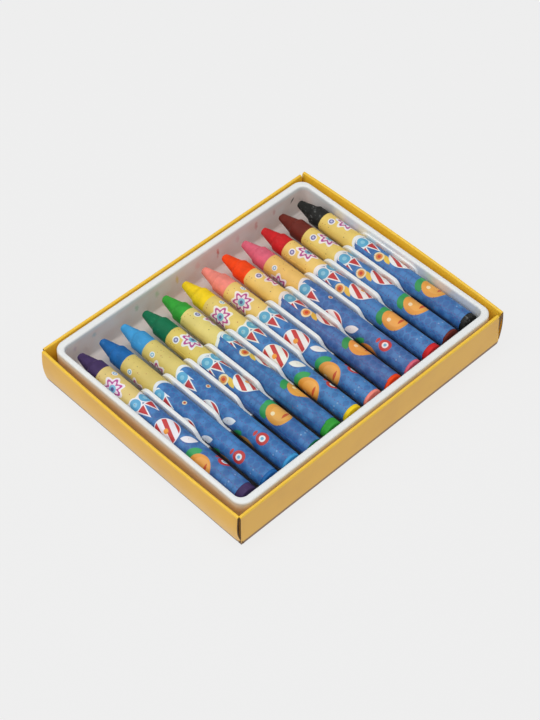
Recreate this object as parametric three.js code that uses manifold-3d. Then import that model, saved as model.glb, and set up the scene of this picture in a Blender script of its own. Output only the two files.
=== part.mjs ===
// Twelve paper-wrapped oil pastels in a formed insert, lying in an open card tray.
// Millimetres, +Z up, X across the sticks, +Y towards their tips.

import * as THREE from 'three';
import { mergeVertices } from 'three/addons/utils/BufferGeometryUtils.js';
import Module from 'manifold-3d';

const wasm = await Module();
wasm.setup();

// Stick: a moulded round bar with a blunt cone and a small shoulder
const STICK_LENGTH = 90;
const STICK_RADIUS = 3.95;
const TIP_RADIUS = 1.6;
const TIP_ROUND = 0.5;
const CONE_LENGTH = 7.6;
const CONE_BASE_RADIUS = 3.15;
const SHOULDER_LENGTH = 1.3;
const END_BEVEL = 0.25;

// Wrapper: a paper label rolled once round the stick, its edge lapped over
const PAPER = 0.12;
const PAPER_FIT = 0.03;
const WRAPPER_LENGTH = 73.6;
const LAP_WIDTH = 2.7;

// Row of sticks
const PITCH = 10.3;
const STICK_END_GAP = 0.7;

// Each stick: its colour, how far it has slid towards the tips, the bare length
// left at its flat end, and the turn of its wrapper's seam from +X, in degrees
const STICKS = [
  { name: 'purple', colour: 0x43325a, slid: 0.9, bare: 3.0, seam: 245 },
  { name: 'blue', colour: 0x1f66a8, slid: 0.6, bare: 1.3, seam: 330 },
  { name: 'light_blue', colour: 0x439fd8, slid: 0.6, bare: 1.2, seam: 315 },
  { name: 'dark_green', colour: 0x14714a, slid: 0.1, bare: 0.2, seam: 165 },
  { name: 'green', colour: 0x3ba43c, slid: 0.7, bare: 3.0, seam: 110 },
  { name: 'yellow', colour: 0xf8d31c, slid: 0.9, bare: 1.5, seam: 245 },
  { name: 'salmon', colour: 0xf79a8c, slid: 1.1, bare: 1.1, seam: 240 },
  { name: 'orange', colour: 0xfe4e16, slid: 0.8, bare: 1.2, seam: 127 },
  { name: 'pink', colour: 0xe26a7e, slid: 0.8, bare: 1.1, seam: 310 },
  { name: 'red', colour: 0xcb2326, slid: 0.6, bare: 2.0, seam: 165 },
  { name: 'brown', colour: 0x6e2a22, slid: 1.4, bare: 0.8, seam: 153 },
  { name: 'black', colour: 0x262624, slid: 1.4, bare: 1.9, seam: 142 },
];

// Insert: one thermoformed sheet with a rim, a skirt and a well
const SHEET = 0.4;
const INSERT_HEIGHT = 16;
const END_ROOM = 2.7;
const RIM_SIDE = 2.3;
const RIM_END = 3.1;
const RIM_ROUND = 0.8;
const RIM_CORNER = 4.8;
const SKIRT_FLARE = 0.5;
const WELL_CORNER = 3.0;
const WELL_ROUND = 1.2;
const WELL_DRAFT = 3;
const STICK_SUNK = 0.8;
const BELOW_STICKS = 3.9;

// Cradle: the raised band across the well, one groove in it for each stick,
// which leaves a thin fin between neighbours
const CRADLE_FIT = 0.14;
const FIN_RISE = 3.0;
const CRADLE_FRONT = 13.3;
const CRADLE_SHELF = -6.5;
const CRADLE_BACK = -20;
const CRADLE_ROUND = 1.5;
const TAIL_DROP = 3.0;
const CRADLE_DRAFT = 8;
const GROOVE_DRAFT = 0.5;

// Card tray: a floor and four walls, each wall rolled over to two layers of board
const BOARD = 0.5;
const ROLL_GAP = 0.3;
const GAP_SIDE = 1.45;
const GAP_END = 0.95;
const CARD_ABOVE_INSERT = -0.4;
const LEAN_SIDE = 0.9;
const LEAN_END = 0.2;
const BOW_SIDE = 0.95;
const PANEL_BELLY = 0.8;
const PANEL_CORNER = 1.6;
const ROLL_CORNER = 1.0;
const CORNER_SLIT = 0.4;
const TAB_SET = 0.05;
const FLOOR_CORNER = PANEL_CORNER + 0.3;

// How finely the round forms are cut
const STICK_SIDES = 28;
const GROOVE_STEPS = 16;
const CORNER_STEPS = 5;
const EDGE_STEPS = 3;
const TAIL_STEPS = 8;
const WALL_STEPS = 6;
const PANEL_STEPS = 4;

// Overlap that welds two solids of one piece
const WELD = 0.2;

// Sizes that follow
const WRAPPER_INNER = STICK_RADIUS + PAPER_FIT;
const WRAPPER_RADIUS = WRAPPER_INNER + PAPER;
const LAPPED_RADIUS = WRAPPER_RADIUS + PAPER;
const INSERT_TOP = BOARD + INSERT_HEIGHT;
const AXIS_Z = INSERT_TOP - STICK_SUNK - WRAPPER_RADIUS;
const WELL_FLOOR = AXIS_Z - WRAPPER_RADIUS - BELOW_STICKS;
const WELL_HALF_X = (STICKS.length * PITCH) / 2;
const WELL_HALF_Y = STICK_LENGTH / 2 + END_ROOM;
const RIM_HALF_X = WELL_HALF_X + RIM_SIDE;
const RIM_HALF_Y = WELL_HALF_Y + RIM_END;
const GROOVE_RADIUS = LAPPED_RADIUS + CRADLE_FIT;
const CARD_WALL = 2 * BOARD + ROLL_GAP;
const CARD_HEIGHT = INSERT_TOP + CARD_ABOVE_INSERT;
const FOLD_Z = CARD_HEIGHT - CARD_WALL / 2;
const INNER_X = RIM_HALF_X + GAP_SIDE;
const INNER_Y = RIM_HALF_Y + GAP_END;
const CARD_HALF_X = INNER_X + CARD_WALL;
const CARD_HALF_Y = INNER_Y + CARD_WALL;

const slope = (degrees) => Math.tan(THREE.MathUtils.degToRad(degrees));

// A closed mesh as a solid that can be joined and cut
function toSolid(geometry) {
  const bare = geometry.clone();
  bare.deleteAttribute('normal');
  bare.deleteAttribute('uv');
  const merged = mergeVertices(bare, 1e-5);
  const vertProperties = Float32Array.from(merged.attributes.position.array);
  const triVerts = Uint32Array.from(merged.index.array);
  return new wasm.Manifold(new wasm.Mesh({ numProp: 3, vertProperties, triVerts }));
}

// A solid back as a three.js geometry
function toGeometry(solid) {
  const mesh = solid.getMesh();
  const geometry = new THREE.BufferGeometry();
  const position = new THREE.BufferAttribute(Float32Array.from(mesh.vertProperties), 3);
  geometry.setAttribute('position', position);
  geometry.setIndex(new THREE.BufferAttribute(Uint32Array.from(mesh.triVerts), 1));
  geometry.computeVertexNormals();
  return geometry;
}

// Points round a centre from one angle to another, both ends included
function arcPoints(x, y, radius, from, to, steps) {
  const points = [];
  for (let i = 0; i <= steps; i += 1) {
    const angle = THREE.MathUtils.degToRad(from + ((to - from) * i) / steps);
    points.push(new THREE.Vector2(x + radius * Math.cos(angle), y + radius * Math.sin(angle)));
  }
  return points;
}

// Rings of equally many points joined into one closed skin, each end capped
// with the triangles of the flat outline
function loftRings(rings, outline) {
  const count = outline.length;
  const index = [];
  for (let r = 0; r + 1 < rings.length; r += 1) {
    for (let i = 0; i < count; i += 1) {
      const a = r * count + i;
      const b = r * count + ((i + 1) % count);
      index.push(a, b, b + count);
      index.push(a, b + count, a + count);
    }
  }
  const last = (rings.length - 1) * count;
  for (const [a, b, c] of THREE.ShapeUtils.triangulateShape(outline, [])) {
    index.push(a, c, b);
    index.push(last + a, last + b, last + c);
  }
  const position = rings.flat().flatMap((p) => [p.x, p.y, p.z]);
  const geometry = new THREE.BufferGeometry();
  geometry.setAttribute('position', new THREE.Float32BufferAttribute(position, 3));
  geometry.setIndex(index);
  return geometry;
}

// Stick along Y, its flat end at y = 0 and its tip at y = STICK_LENGTH
function stickGeometry() {
  const coneBase = STICK_LENGTH - CONE_LENGTH;
  const roundX = TIP_RADIUS - TIP_ROUND;
  const profile = [
    new THREE.Vector2(0, 0),
    new THREE.Vector2(STICK_RADIUS - END_BEVEL, 0),
    new THREE.Vector2(STICK_RADIUS, END_BEVEL),
    new THREE.Vector2(STICK_RADIUS, coneBase - SHOULDER_LENGTH),
    new THREE.Vector2(CONE_BASE_RADIUS, coneBase),
    ...arcPoints(roundX, STICK_LENGTH - TIP_ROUND, TIP_ROUND, 10, 90, EDGE_STEPS),
    new THREE.Vector2(0, STICK_LENGTH),
  ];
  return new THREE.LatheGeometry(profile, STICK_SIDES);
}

// Wrapper along Y from y = 0: a paper tube whose outer edge lies over the inner
// one, which leaves a sharp step at the seam and a ramp where the lap begins
function wrapperGeometry() {
  const step = (2 * Math.PI) / STICK_SIDES;
  const lapSteps = Math.max(1, Math.round(LAP_WIDTH / (WRAPPER_RADIUS * step)));
  const section = new THREE.Shape();
  section.moveTo(WRAPPER_RADIUS, 0);
  section.lineTo(LAPPED_RADIUS, 0);
  for (let i = 1; i < STICK_SIDES; i += 1) {
    const radius = i <= lapSteps ? LAPPED_RADIUS : WRAPPER_RADIUS;
    section.lineTo(radius * Math.cos(i * step), radius * Math.sin(i * step));
  }
  section.closePath();
  const bore = new THREE.Path();
  bore.absarc(0, 0, WRAPPER_INNER, 0, 2 * Math.PI, true);
  section.holes.push(bore);
  const options = { depth: WRAPPER_LENGTH, bevelEnabled: false, curveSegments: STICK_SIDES / 2 };
  const tube = new THREE.ExtrudeGeometry(section, options);
  tube.rotateX(Math.PI / 2);
  return tube.translate(0, WRAPPER_LENGTH, 0);
}

// Rounded rectangle at one height, as a ring
function roundedRing(halfX, halfY, round, z) {
  const corner = Math.max(round, SHEET);
  const x = halfX - corner;
  const y = halfY - corner;
  const points = [
    ...arcPoints(x, y, corner, 0, 90, CORNER_STEPS),
    ...arcPoints(-x, y, corner, 90, 180, CORNER_STEPS),
    ...arcPoints(-x, -y, corner, 180, 270, CORNER_STEPS),
    ...arcPoints(x, -y, corner, 270, 360, CORNER_STEPS),
  ];
  return points.map((p) => new THREE.Vector3(p.x, p.y, z));
}

// Skirt, rim and well as one solid block. Set in by the sheet's thickness, the
// same block is the space behind the sheet, open at the foot.
function wellBlock(set) {
  const lean = (INSERT_TOP - WELL_FLOOR) * slope(WELL_DRAFT);
  const roundZ = INSERT_TOP - RIM_ROUND;
  const skirt = [
    new THREE.Vector2(SKIRT_FLARE - set, BOARD - 2 * set),
    ...arcPoints(-RIM_ROUND, roundZ, RIM_ROUND - set, 0, 90, EDGE_STEPS),
  ];
  const well = [
    ...arcPoints(RIM_ROUND, roundZ, RIM_ROUND - set, 90, 180, EDGE_STEPS),
    ...arcPoints(-lean - WELL_ROUND, WELL_FLOOR + WELL_ROUND, WELL_ROUND + set, 0, -90, EDGE_STEPS),
  ];
  const rings = [
    ...skirt.map((p) => roundedRing(RIM_HALF_X + p.x, RIM_HALF_Y + p.x, RIM_CORNER + p.x, p.y)),
    ...well.map((p) => roundedRing(WELL_HALF_X + p.x, WELL_HALF_Y + p.x, WELL_CORNER + p.x, p.y)),
  ];
  const outline = rings[0].map((p) => new THREE.Vector2(p.x, p.y));
  return toSolid(loftRings(rings, outline));
}

// Raised band across the well, drawn from the side: steep towards the tips and
// with a long S-shaped tail towards the flat ends
function cradleBand(set) {
  const foot = WELL_FLOOR - set - WELD;
  const top = AXIS_Z + FIN_RISE - set;
  const lean = (top - foot) * slope(CRADLE_DRAFT);
  const front = CRADLE_FRONT - set;
  const shelf = CRADLE_SHELF + set;
  const back = CRADLE_BACK + set;
  const middle = (shelf + back) / 2;
  const side = new THREE.Shape();
  side.moveTo(front + lean, foot);
  const nose = arcPoints(front - CRADLE_ROUND, top - CRADLE_ROUND, CRADLE_ROUND, 0, 90, EDGE_STEPS);
  nose.forEach((p) => side.lineTo(p.x, p.y));
  side.lineTo(shelf, top);
  side.bezierCurveTo(middle, top, middle, top - TAIL_DROP, back, top - TAIL_DROP);
  side.lineTo(back - lean, foot);
  side.closePath();
  const width = 2 * (WELL_HALF_X + set + WELD);
  const options = { depth: width, bevelEnabled: false, curveSegments: TAIL_STEPS };
  const band = new THREE.ExtrudeGeometry(side, options);
  band.translate(0, 0, -width / 2);
  const sideToX = new THREE.Matrix4().makeBasis(
    new THREE.Vector3(0, 1, 0),
    new THREE.Vector3(0, 0, 1),
    new THREE.Vector3(1, 0, 0),
  );
  return toSolid(band.applyMatrix4(sideToX));
}

// The trough that one stick lies in, its sides opening upwards
function groove(set, x) {
  const radius = GROOVE_RADIUS + set;
  const top = INSERT_TOP + RIM_ROUND;
  const opened = radius + (top - AXIS_Z) * slope(GROOVE_DRAFT);
  const section = new THREE.Shape([
    new THREE.Vector2(opened, top),
    new THREE.Vector2(-opened, top),
    ...arcPoints(0, AXIS_Z, radius, 180, 360, GROOVE_STEPS),
  ]);
  const depth = 2 * WELL_HALF_Y;
  const trough = new THREE.ExtrudeGeometry(section, { depth, bevelEnabled: false });
  trough.rotateX(Math.PI / 2);
  return toSolid(trough.translate(x, depth / 2, 0));
}

// Outer form of the insert, or with set the form of the space behind its sheet
function insertForm(set) {
  let band = cradleBand(set);
  for (let k = 0; k < STICKS.length; k += 1) {
    band = band.subtract(groove(set, stickX(k)));
  }
  return wellBlock(set).add(band);
}

// How far a quarter-round corner cuts in, at a distance from the end of the wall
function roundedEnd(fromEnd, radius) {
  const within = Math.max(0, radius - fromEnd);
  return radius - Math.sqrt(radius ** 2 - within ** 2);
}

// One wall of the card tray: its board rises, rolls over the top and comes down
// inside. x is outwards from the inner face, y along the wall.
function foldedWall(length, lean, bow, belly) {
  const steps = belly > 0 ? PANEL_STEPS : 1;
  const outline = (bottom, dip) => {
    const fold = FOLD_Z - dip;
    const rise = (i) => bottom + ((fold - bottom) * i) / steps;
    const swell = (z) => belly * Math.sin((Math.PI * z) / fold);
    const points = [];
    for (let i = 0; i < steps; i += 1) {
      points.push(new THREE.Vector2(CARD_WALL + swell(rise(i)), rise(i)));
    }
    points.push(...arcPoints(CARD_WALL / 2, fold, CARD_WALL / 2, 0, 180, 2 * EDGE_STEPS));
    points.push(new THREE.Vector2(0, BOARD / 2), new THREE.Vector2(BOARD, BOARD / 2));
    points.push(...arcPoints(CARD_WALL / 2, fold, ROLL_GAP / 2, 180, 0, EDGE_STEPS));
    for (let i = steps - 1; i >= 0; i -= 1) {
      points.push(new THREE.Vector2(CARD_WALL - BOARD + swell(rise(i)), rise(i)));
    }
    return points;
  };
  const station = (along) => {
    const s = (2 * along) / length;
    const lifted = roundedEnd(length / 2 - Math.abs(along), PANEL_CORNER);
    const dip = roundedEnd(length / 2 - Math.abs(along), ROLL_CORNER);
    const out = (z) => ((lean + bow * (1 - s * s)) * z) / CARD_HEIGHT;
    return outline(lifted, dip).map((p) => new THREE.Vector3(p.x + out(p.y), -along, p.y));
  };
  const places = [];
  for (let i = 0; i <= WALL_STEPS; i += 1) {
    places.push((i / WALL_STEPS - 0.5) * length);
  }
  for (const inset of [PANEL_CORNER, ROLL_CORNER, PANEL_CORNER / 3, ROLL_CORNER / 5]) {
    places.push(inset - length / 2, length / 2 - inset);
  }
  places.sort((a, b) => a - b);
  return toSolid(loftRings(places.map(station), outline(PANEL_CORNER, ROLL_CORNER)));
}

// A block between two opposite corners
function block(from, to) {
  const span = new THREE.Box3().setFromPoints([from, to].map((p) => new THREE.Vector3(...p)));
  const size = span.getSize(new THREE.Vector3());
  const centre = span.getCenter(new THREE.Vector3());
  const box = new THREE.BoxGeometry(size.x, size.y, size.z);
  return toSolid(box.translate(centre.x, centre.y, centre.z));
}

// The card tray as one folded blank. The side walls stop short of the end
// panels, which leaves the slit that shows at each corner.
function cardTrayGeometry() {
  const panelY = CARD_HALF_Y - BOARD;
  const reach = INNER_X + BOARD + ROLL_GAP / 2;
  const side = foldedWall(2 * (panelY - CORNER_SLIT), LEAN_SIDE, BOW_SIDE, PANEL_BELLY);
  const end = foldedWall(2 * reach, LEAN_END, 0, 0);
  const floorX = CARD_HALF_X - BOARD / 2;
  const floorY = CARD_HALF_Y - BOARD / 2;
  const long = block([-floorX, FLOOR_CORNER - CARD_HALF_Y, 0], [floorX, CARD_HALF_Y - FLOOR_CORNER, BOARD]);
  const wide = block([FLOOR_CORNER - CARD_HALF_X, -floorY, 0], [CARD_HALF_X - FLOOR_CORNER, floorY, BOARD]);
  let tray = long.add(wide);
  for (const turn of [0, 180]) {
    tray = tray.add(side.translate([INNER_X, 0, 0]).rotate([0, 0, turn]));
    tray = tray.add(end.translate([INNER_Y, 0, 0]).rotate([0, 0, turn + 90]));
  }
  for (const [x, y] of [[1, 1], [1, -1], [-1, 1], [-1, -1]]) {
    const inside = [x * (reach - WELD), y * (panelY + TAB_SET), FLOOR_CORNER];
    const outside = [x * (CARD_HALF_X - WELD), y * (CARD_HALF_Y - TAB_SET), FOLD_Z - ROLL_CORNER];
    tray = tray.add(block(inside, outside));
  }
  return toGeometry(tray);
}

// The insert: its outer form less the same form set in by the sheet
function insertTrayGeometry() {
  return toGeometry(insertForm(0).subtract(insertForm(SHEET)));
}

function finish(colour, roughness) {
  return new THREE.MeshStandardMaterial({ color: colour, roughness, metalness: 0 });
}

function named(name, geometry, material) {
  const mesh = new THREE.Mesh(geometry, material);
  mesh.name = name;
  return mesh;
}

// One pastel, its flat end at the group's origin
function pastel(stick, wrapperFinish) {
  const bar = named(`${stick.name}_stick`, stickGeometry(), finish(stick.colour, 0.55));
  const wrapper = named(`${stick.name}_wrapper`, wrapperGeometry(), wrapperFinish);
  wrapper.position.y = stick.bare;
  wrapper.rotation.y = -THREE.MathUtils.degToRad(stick.seam);
  const group = new THREE.Group();
  group.add(bar, wrapper);
  return group;
}

// Place of the middle of stick k across the row
function stickX(k) {
  return (k - (STICKS.length - 1) / 2) * PITCH;
}

const set = new THREE.Group();
set.add(named('card_tray', cardTrayGeometry(), finish(0xe8b33a, 0.5)));
set.add(named('insert_tray', insertTrayGeometry(), finish(0xe6e9e8, 0.4)));
const wrapperFinish = finish(0x3f72b0, 0.5);
STICKS.forEach((stick, k) => {
  const group = pastel(stick, wrapperFinish);
  group.position.set(stickX(k), STICK_END_GAP + stick.slid - WELL_HALF_Y, AXIS_Z);
  set.add(group);
});

export default set;
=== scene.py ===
"""Looks of twelve paper-wrapped oil pastels in a white formed insert and a yellow card tray.

Sizes are in millimetres and repeat those of the part's source. X runs across the
sticks, +Y is their tips' end and +Z is up.
"""

import logging
import math
from dataclasses import dataclass, field
from enum import Enum

import bpy
import numpy as np
from mathutils import Matrix, Vector, noise


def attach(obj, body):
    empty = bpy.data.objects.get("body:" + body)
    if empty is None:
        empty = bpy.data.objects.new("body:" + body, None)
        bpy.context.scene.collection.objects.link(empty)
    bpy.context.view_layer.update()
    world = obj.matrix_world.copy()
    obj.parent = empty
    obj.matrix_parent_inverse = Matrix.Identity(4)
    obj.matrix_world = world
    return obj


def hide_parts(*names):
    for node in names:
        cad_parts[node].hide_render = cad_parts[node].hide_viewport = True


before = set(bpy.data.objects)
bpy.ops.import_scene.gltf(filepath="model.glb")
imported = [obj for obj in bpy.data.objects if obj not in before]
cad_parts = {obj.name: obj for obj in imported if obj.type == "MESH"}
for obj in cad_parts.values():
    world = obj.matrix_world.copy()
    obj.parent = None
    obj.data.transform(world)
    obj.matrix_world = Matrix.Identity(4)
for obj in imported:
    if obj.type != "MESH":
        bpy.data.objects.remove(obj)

log = logging.getLogger("oil_pastels")

MM = 0.001
STICK_LENGTH = 90.0
STICK_RADIUS = 3.95
PAPER = 0.12
PAPER_FIT = 0.03
WRAPPER_LENGTH = 73.6
LAP_WIDTH = 2.7
PITCH = 10.3
STICK_COUNT = 12
STICK_END_GAP = 0.7
BOARD = 0.5
INSERT_TOP = 16.5
STICK_SUNK = 0.8
BELOW_STICKS = 3.9
END_ROOM = 2.7
RIM_SIDE = 2.3
RIM_END = 3.1
RIM_CORNER = 4.8
WRAPPER_RADIUS = STICK_RADIUS + PAPER_FIT + PAPER
AXIS_Z = INSERT_TOP - STICK_SUNK - WRAPPER_RADIUS
WELL_FLOOR = AXIS_Z - WRAPPER_RADIUS - BELOW_STICKS
WELL_HALF_X = STICK_COUNT * PITCH / 2
WELL_HALF_Y = STICK_LENGTH / 2 + END_ROOM
RIM_HALF_X = WELL_HALF_X + RIM_SIDE
RIM_HALF_Y = WELL_HALF_Y + RIM_END

Tree = bpy.types.NodeTree
Node = bpy.types.Node
Socket = bpy.types.NodeSocket
Material = bpy.types.Material
Piece = bpy.types.Object
Source = Node | Socket | float | int | tuple | str


def stick_x(place: int) -> float:
    """Middle of a stick across the row, counted from 0 at -X."""
    return (place - (STICK_COUNT - 1) / 2) * PITCH


def linear(hex_colour: str) -> tuple[float, float, float, float]:
    """Turns an sRGB hex colour into the linear RGBA that Blender's sockets take.

    Args:
        hex_colour: six digits after a number sign.

    Returns:
        Linear red, green and blue, and an alpha of 1.
    """
    parts = [int(hex_colour[i : i + 2], 16) / 255 for i in (1, 3, 5)]
    turned = [c / 12.92 if c <= 0.04045 else ((c + 0.055) / 1.055) ** 2.4 for c in parts]
    return (*turned, 1.0)


def put(tree: Tree, kind: str, takes: dict[int | str, Source] | None = None, **settings) -> Node:
    """Adds one node with its settings and links.

    Args:
        tree: the node tree that gets it.
        kind: Blender's name of the node type.
        takes: what each input gets: a value, a socket, a node whose result is linked, or a sum
            written as an operation and its terms, such as ("ADD", socket, 1.0).
        **settings: the node's own properties.

    Returns:
        The new node.
    """
    made = tree.nodes.new(kind)
    for name, value in settings.items():
        setattr(made, name, value)
    for key, value in (takes or {}).items():
        if isinstance(value, tuple) and isinstance(value[0], str):
            value = put(tree, "ShaderNodeMath", dict(enumerate(value[1:])), operation=value[0])
        if isinstance(value, Node):
            value = next(socket for socket in value.outputs if socket.enabled)
        if isinstance(value, Socket):
            tree.links.new(value, made.inputs[key])
        else:
            made.inputs[key].default_value = value
    return made


def new_material(name: str) -> tuple[Material, Tree]:
    """Makes a material with an empty node tree.

    Args:
        name: the real material and how its surface is made.

    Returns:
        The material and its tree.
    """
    material = bpy.data.materials.new(name)
    material.use_nodes = True
    material.node_tree.nodes.clear()
    return material, material.node_tree


def mesh_piece(name: str, points: np.ndarray, faces: list, material: Material) -> Piece:
    """Makes a mesh object at the origin from points in millimetres.

    Args:
        name: the piece's name.
        points: one row of x, y, z for each vertex.
        faces: vertex numbers of each face, seen anticlockwise from outside.
        material: the first material slot.

    Returns:
        The linked object.
    """
    mesh = bpy.data.meshes.new(name)
    mesh.from_pydata((np.asarray(points, float) * MM).tolist(), [], [tuple(f) for f in faces])
    mesh.validate()
    mesh.materials.append(material)
    piece = bpy.data.objects.new(name, mesh)
    bpy.context.scene.collection.objects.link(piece)
    return piece


def settle(piece: Piece, sharp_above: float) -> None:
    """Applies a piece's modifiers and shades it smooth but for its sharp edges.

    Args:
        piece: the object, which keeps its name.
        sharp_above: edges that turn by more than these degrees stay sharp.
    """
    bpy.context.view_layer.update()
    graph = bpy.context.evaluated_depsgraph_get()
    solid = bpy.data.meshes.new_from_object(piece.evaluated_get(graph))
    piece.modifiers.clear()
    piece.data = solid
    solid.name = piece.name
    solid.shade_smooth()
    solid.set_sharp_from_angle(angle=math.radians(sharp_above))


def ring_faces(rings: int, count: int) -> list[tuple[int, ...]]:
    """Faces of a skin through rings of points, each ring closed on itself.

    Args:
        rings: how many rings there are.
        count: how many points each has.

    Returns:
        Four vertex numbers for each face.
    """
    quads = []
    for ring in range(rings - 1):
        for i in range(count):
            a, b = ring * count + i, ring * count + (i + 1) % count
            quads.append((a, b, b + count, a + count))
    return quads


def ring_ends(rings: int, count: int) -> list[tuple[int, ...]]:
    """The two faces that close such a skin, at its first and at its last ring."""
    last = (rings - 1) * count
    return [tuple(range(count)), tuple(range(last + count - 1, last - 1, -1))]


@dataclass(frozen=True, kw_only=True)
class Finish:
    """A surface: its name, how it shines, and the fine grain that its bump shows. Sizes and depths
    are in millimetres. Real fibres and pores are finer than the render shows, so each grain is
    drawn as coarse as it needs to show, and a strength of 0 leaves it out."""

    name: str
    roughness: float
    specular: float = 0.5
    coat: float = 0.0
    coat_roughness: float = 0.03
    grain: float = 1.0
    detail: float = 3.0
    depth: float = 0.05
    strength: float = 0.0

    def material(self) -> Material:
        """Builds the material on Object coordinates.

        Returns:
            The material, with a Principled shader.
        """
        material, tree = new_material(self.name)
        at = put(tree, "ShaderNodeTexCoord").outputs["Object"]
        takes = {
            "Base Color": self.colour(tree, at),
            "Roughness": self.roughness,
            "Specular IOR Level": self.specular,
            "Coat Weight": self.coat,
            "Coat Roughness": self.coat_roughness,
        }
        if self.strength > 0:
            grain = {0: at, "Scale": 1 / (self.grain * MM), "Detail": self.detail}
            height = put(tree, "ShaderNodeTexNoise", grain)
            bump = {"Strength": self.strength, "Distance": self.depth * MM, "Height": height}
            takes["Normal"] = put(tree, "ShaderNodeBump", bump)
        shader = put(tree, "ShaderNodeBsdfPrincipled", takes)
        put(tree, "ShaderNodeOutputMaterial", {"Surface": shader})
        return material

    def colour(self, tree: Tree, at: Socket) -> Source:
        """Works out the colour, in each finish's own way.

        Args:
            tree: the material's tree.
            at: place in metres.

        Returns:
            The node that gives the colour.
        """
        raise NotImplementedError


@dataclass(frozen=True, kw_only=True)
class VarnishedCard(Finish):
    """Folding boxboard, printed one flat yellow and varnished: a soft sheen over faint fibre. The
    ink is worn in clouds and stretched pale over the top fold, which is also painted lighter as a
    highlight, and a painted contact shadow darkens the foot's crease."""

    ink: str
    worn: str
    # Colour of the top fold: stretched ink, painted lighter as a highlight.
    stretched_fold_highlight: str = "#FACA34"
    # Painted contact shadow along the foot's crease.
    painted_foot_shadow: str = "#74491F"
    cloud: float = 14.0
    fold: tuple[float, float] = (14.9, 15.8)
    foot_shadow_z: tuple[float, float] = (1.6, 0.8)
    foot_shadow_line: tuple[float, float] = (65.0, 51.2)
    foot_shadow_soft: float = 0.4
    roughness: float = 0.46
    coat: float = 0.35
    coat_roughness: float = 0.3
    grain: float = 0.6
    detail: float = 2.0
    strength: float = 0.12

    def colour(self, tree: Tree, at: Socket) -> Source:
        """Colours the card by its height; the painted shadow along the foot shows only beyond a line near the
        outline.

        Args:
            tree: the material's tree.
            at: place in metres.

        Returns:
            The node that gives the colour.
        """
        cloud = put(tree, "ShaderNodeTexNoise", {0: at, "Scale": 1 / (self.cloud * MM), "Detail": 3.0})
        worn = put(tree, "ShaderNodeMapRange", {0: cloud, 1: 0.42, 2: 0.72, 3: 0.0, 4: 0.5})
        height = put(tree, "ShaderNodeSeparateXYZ", {0: at}).outputs[2]
        fold = put(tree, "ShaderNodeMapRange", {0: height, 1: self.fold[0] * MM, 2: self.fold[1] * MM})
        # Heights over which the painted contact shadow along the foot fades in.
        low = put(tree, "ShaderNodeMapRange", {0: height, 1: self.foot_shadow_z[0] * MM, 2: self.foot_shadow_z[1] * MM})
        off = put(tree, "ShaderNodeVectorMath", {0: at}, operation="ABSOLUTE")
        line = (self.foot_shadow_line[0] * MM, self.foot_shadow_line[1] * MM, 0.0)
        past = put(tree, "ShaderNodeVectorMath", {0: off, 1: line}, operation="SUBTRACT")
        sides = put(tree, "ShaderNodeSeparateXYZ", {0: past}).outputs
        beyond = ("MAXIMUM", sides[0], sides[1])
        outer = put(tree, "ShaderNodeMapRange", {0: beyond, 1: 0.0, 2: self.foot_shadow_soft * MM})
        shade = linear(self.ink)
        # Over the ink: worn clouds, the top fold's stretched ink with a painted highlight, and a painted
        # contact shadow along the foot.
        layers = ((worn, self.worn), (fold, self.stretched_fold_highlight), (("MULTIPLY", low, outer), self.painted_foot_shadow))
        for share, over in layers:
            shade = put(tree, "ShaderNodeMix", {0: share, 6: shade, 7: linear(over)}, data_type="RGBA")
        return shade


@dataclass(frozen=True, kw_only=True)
class CutBoard(Finish):
    """Raw grey-brown board where the blank was die-cut: matt, with fine layers."""

    name: str = "die_cut_grey_board_edge"
    pulp: str = "#8A6B48"
    dark: str = "#5E4428"
    layer: float = 0.3
    roughness: float = 0.9

    def colour(self, tree: Tree, at: Socket) -> Source:
        """Colours the edge in fine light and dark layers.

        Args:
            tree: the material's tree.
            at: place in metres.

        Returns:
            The node that gives the colour.
        """
        layer = put(tree, "ShaderNodeTexNoise", {0: at, "Scale": 1 / (self.layer * MM), "Detail": 3.0})
        shades = {0: layer, 6: linear(self.dark), 7: linear(self.pulp)}
        return put(tree, "ShaderNodeMix", shades, data_type="RGBA")


@dataclass(frozen=True, kw_only=True)
class BoardBack(Finish):
    """Unprinted back of the boxboard, which lies up on the tray's floor: matt recycled pulp, pale
    grey with darker flecks."""

    name: str = "unprinted_grey_board_back"
    pulp: str = "#C9C0B0"
    fleck: str = "#A79B88"
    roughness: float = 0.92
    grain: float = 0.8
    detail: float = 4.0
    strength: float = 0.15

    def colour(self, tree: Tree, at: Socket) -> Source:
        """Colours the pulp, with flecks at the scale of its grain.

        Args:
            tree: the material's tree.
            at: place in metres.

        Returns:
            The node that gives the colour.
        """
        flecks = {0: at, "Scale": 1 / (self.grain * MM), "Detail": self.detail}
        pulp = put(tree, "ShaderNodeTexNoise", flecks)
        share = put(tree, "ShaderNodeMapRange", {0: pulp, 1: 0.5, 2: 0.75})
        shades = {0: share, 6: linear(self.pulp), 7: linear(self.fleck)}
        return put(tree, "ShaderNodeMix", shades, data_type="RGBA")


@dataclass(frozen=True)
class WallSmudge:
    """A mark that a tip left on the insert's end wall, its height turned by some degrees."""

    x: float
    z: float
    width: float
    height: float
    colour: str
    strength: float
    slant: float = 0.0


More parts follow.
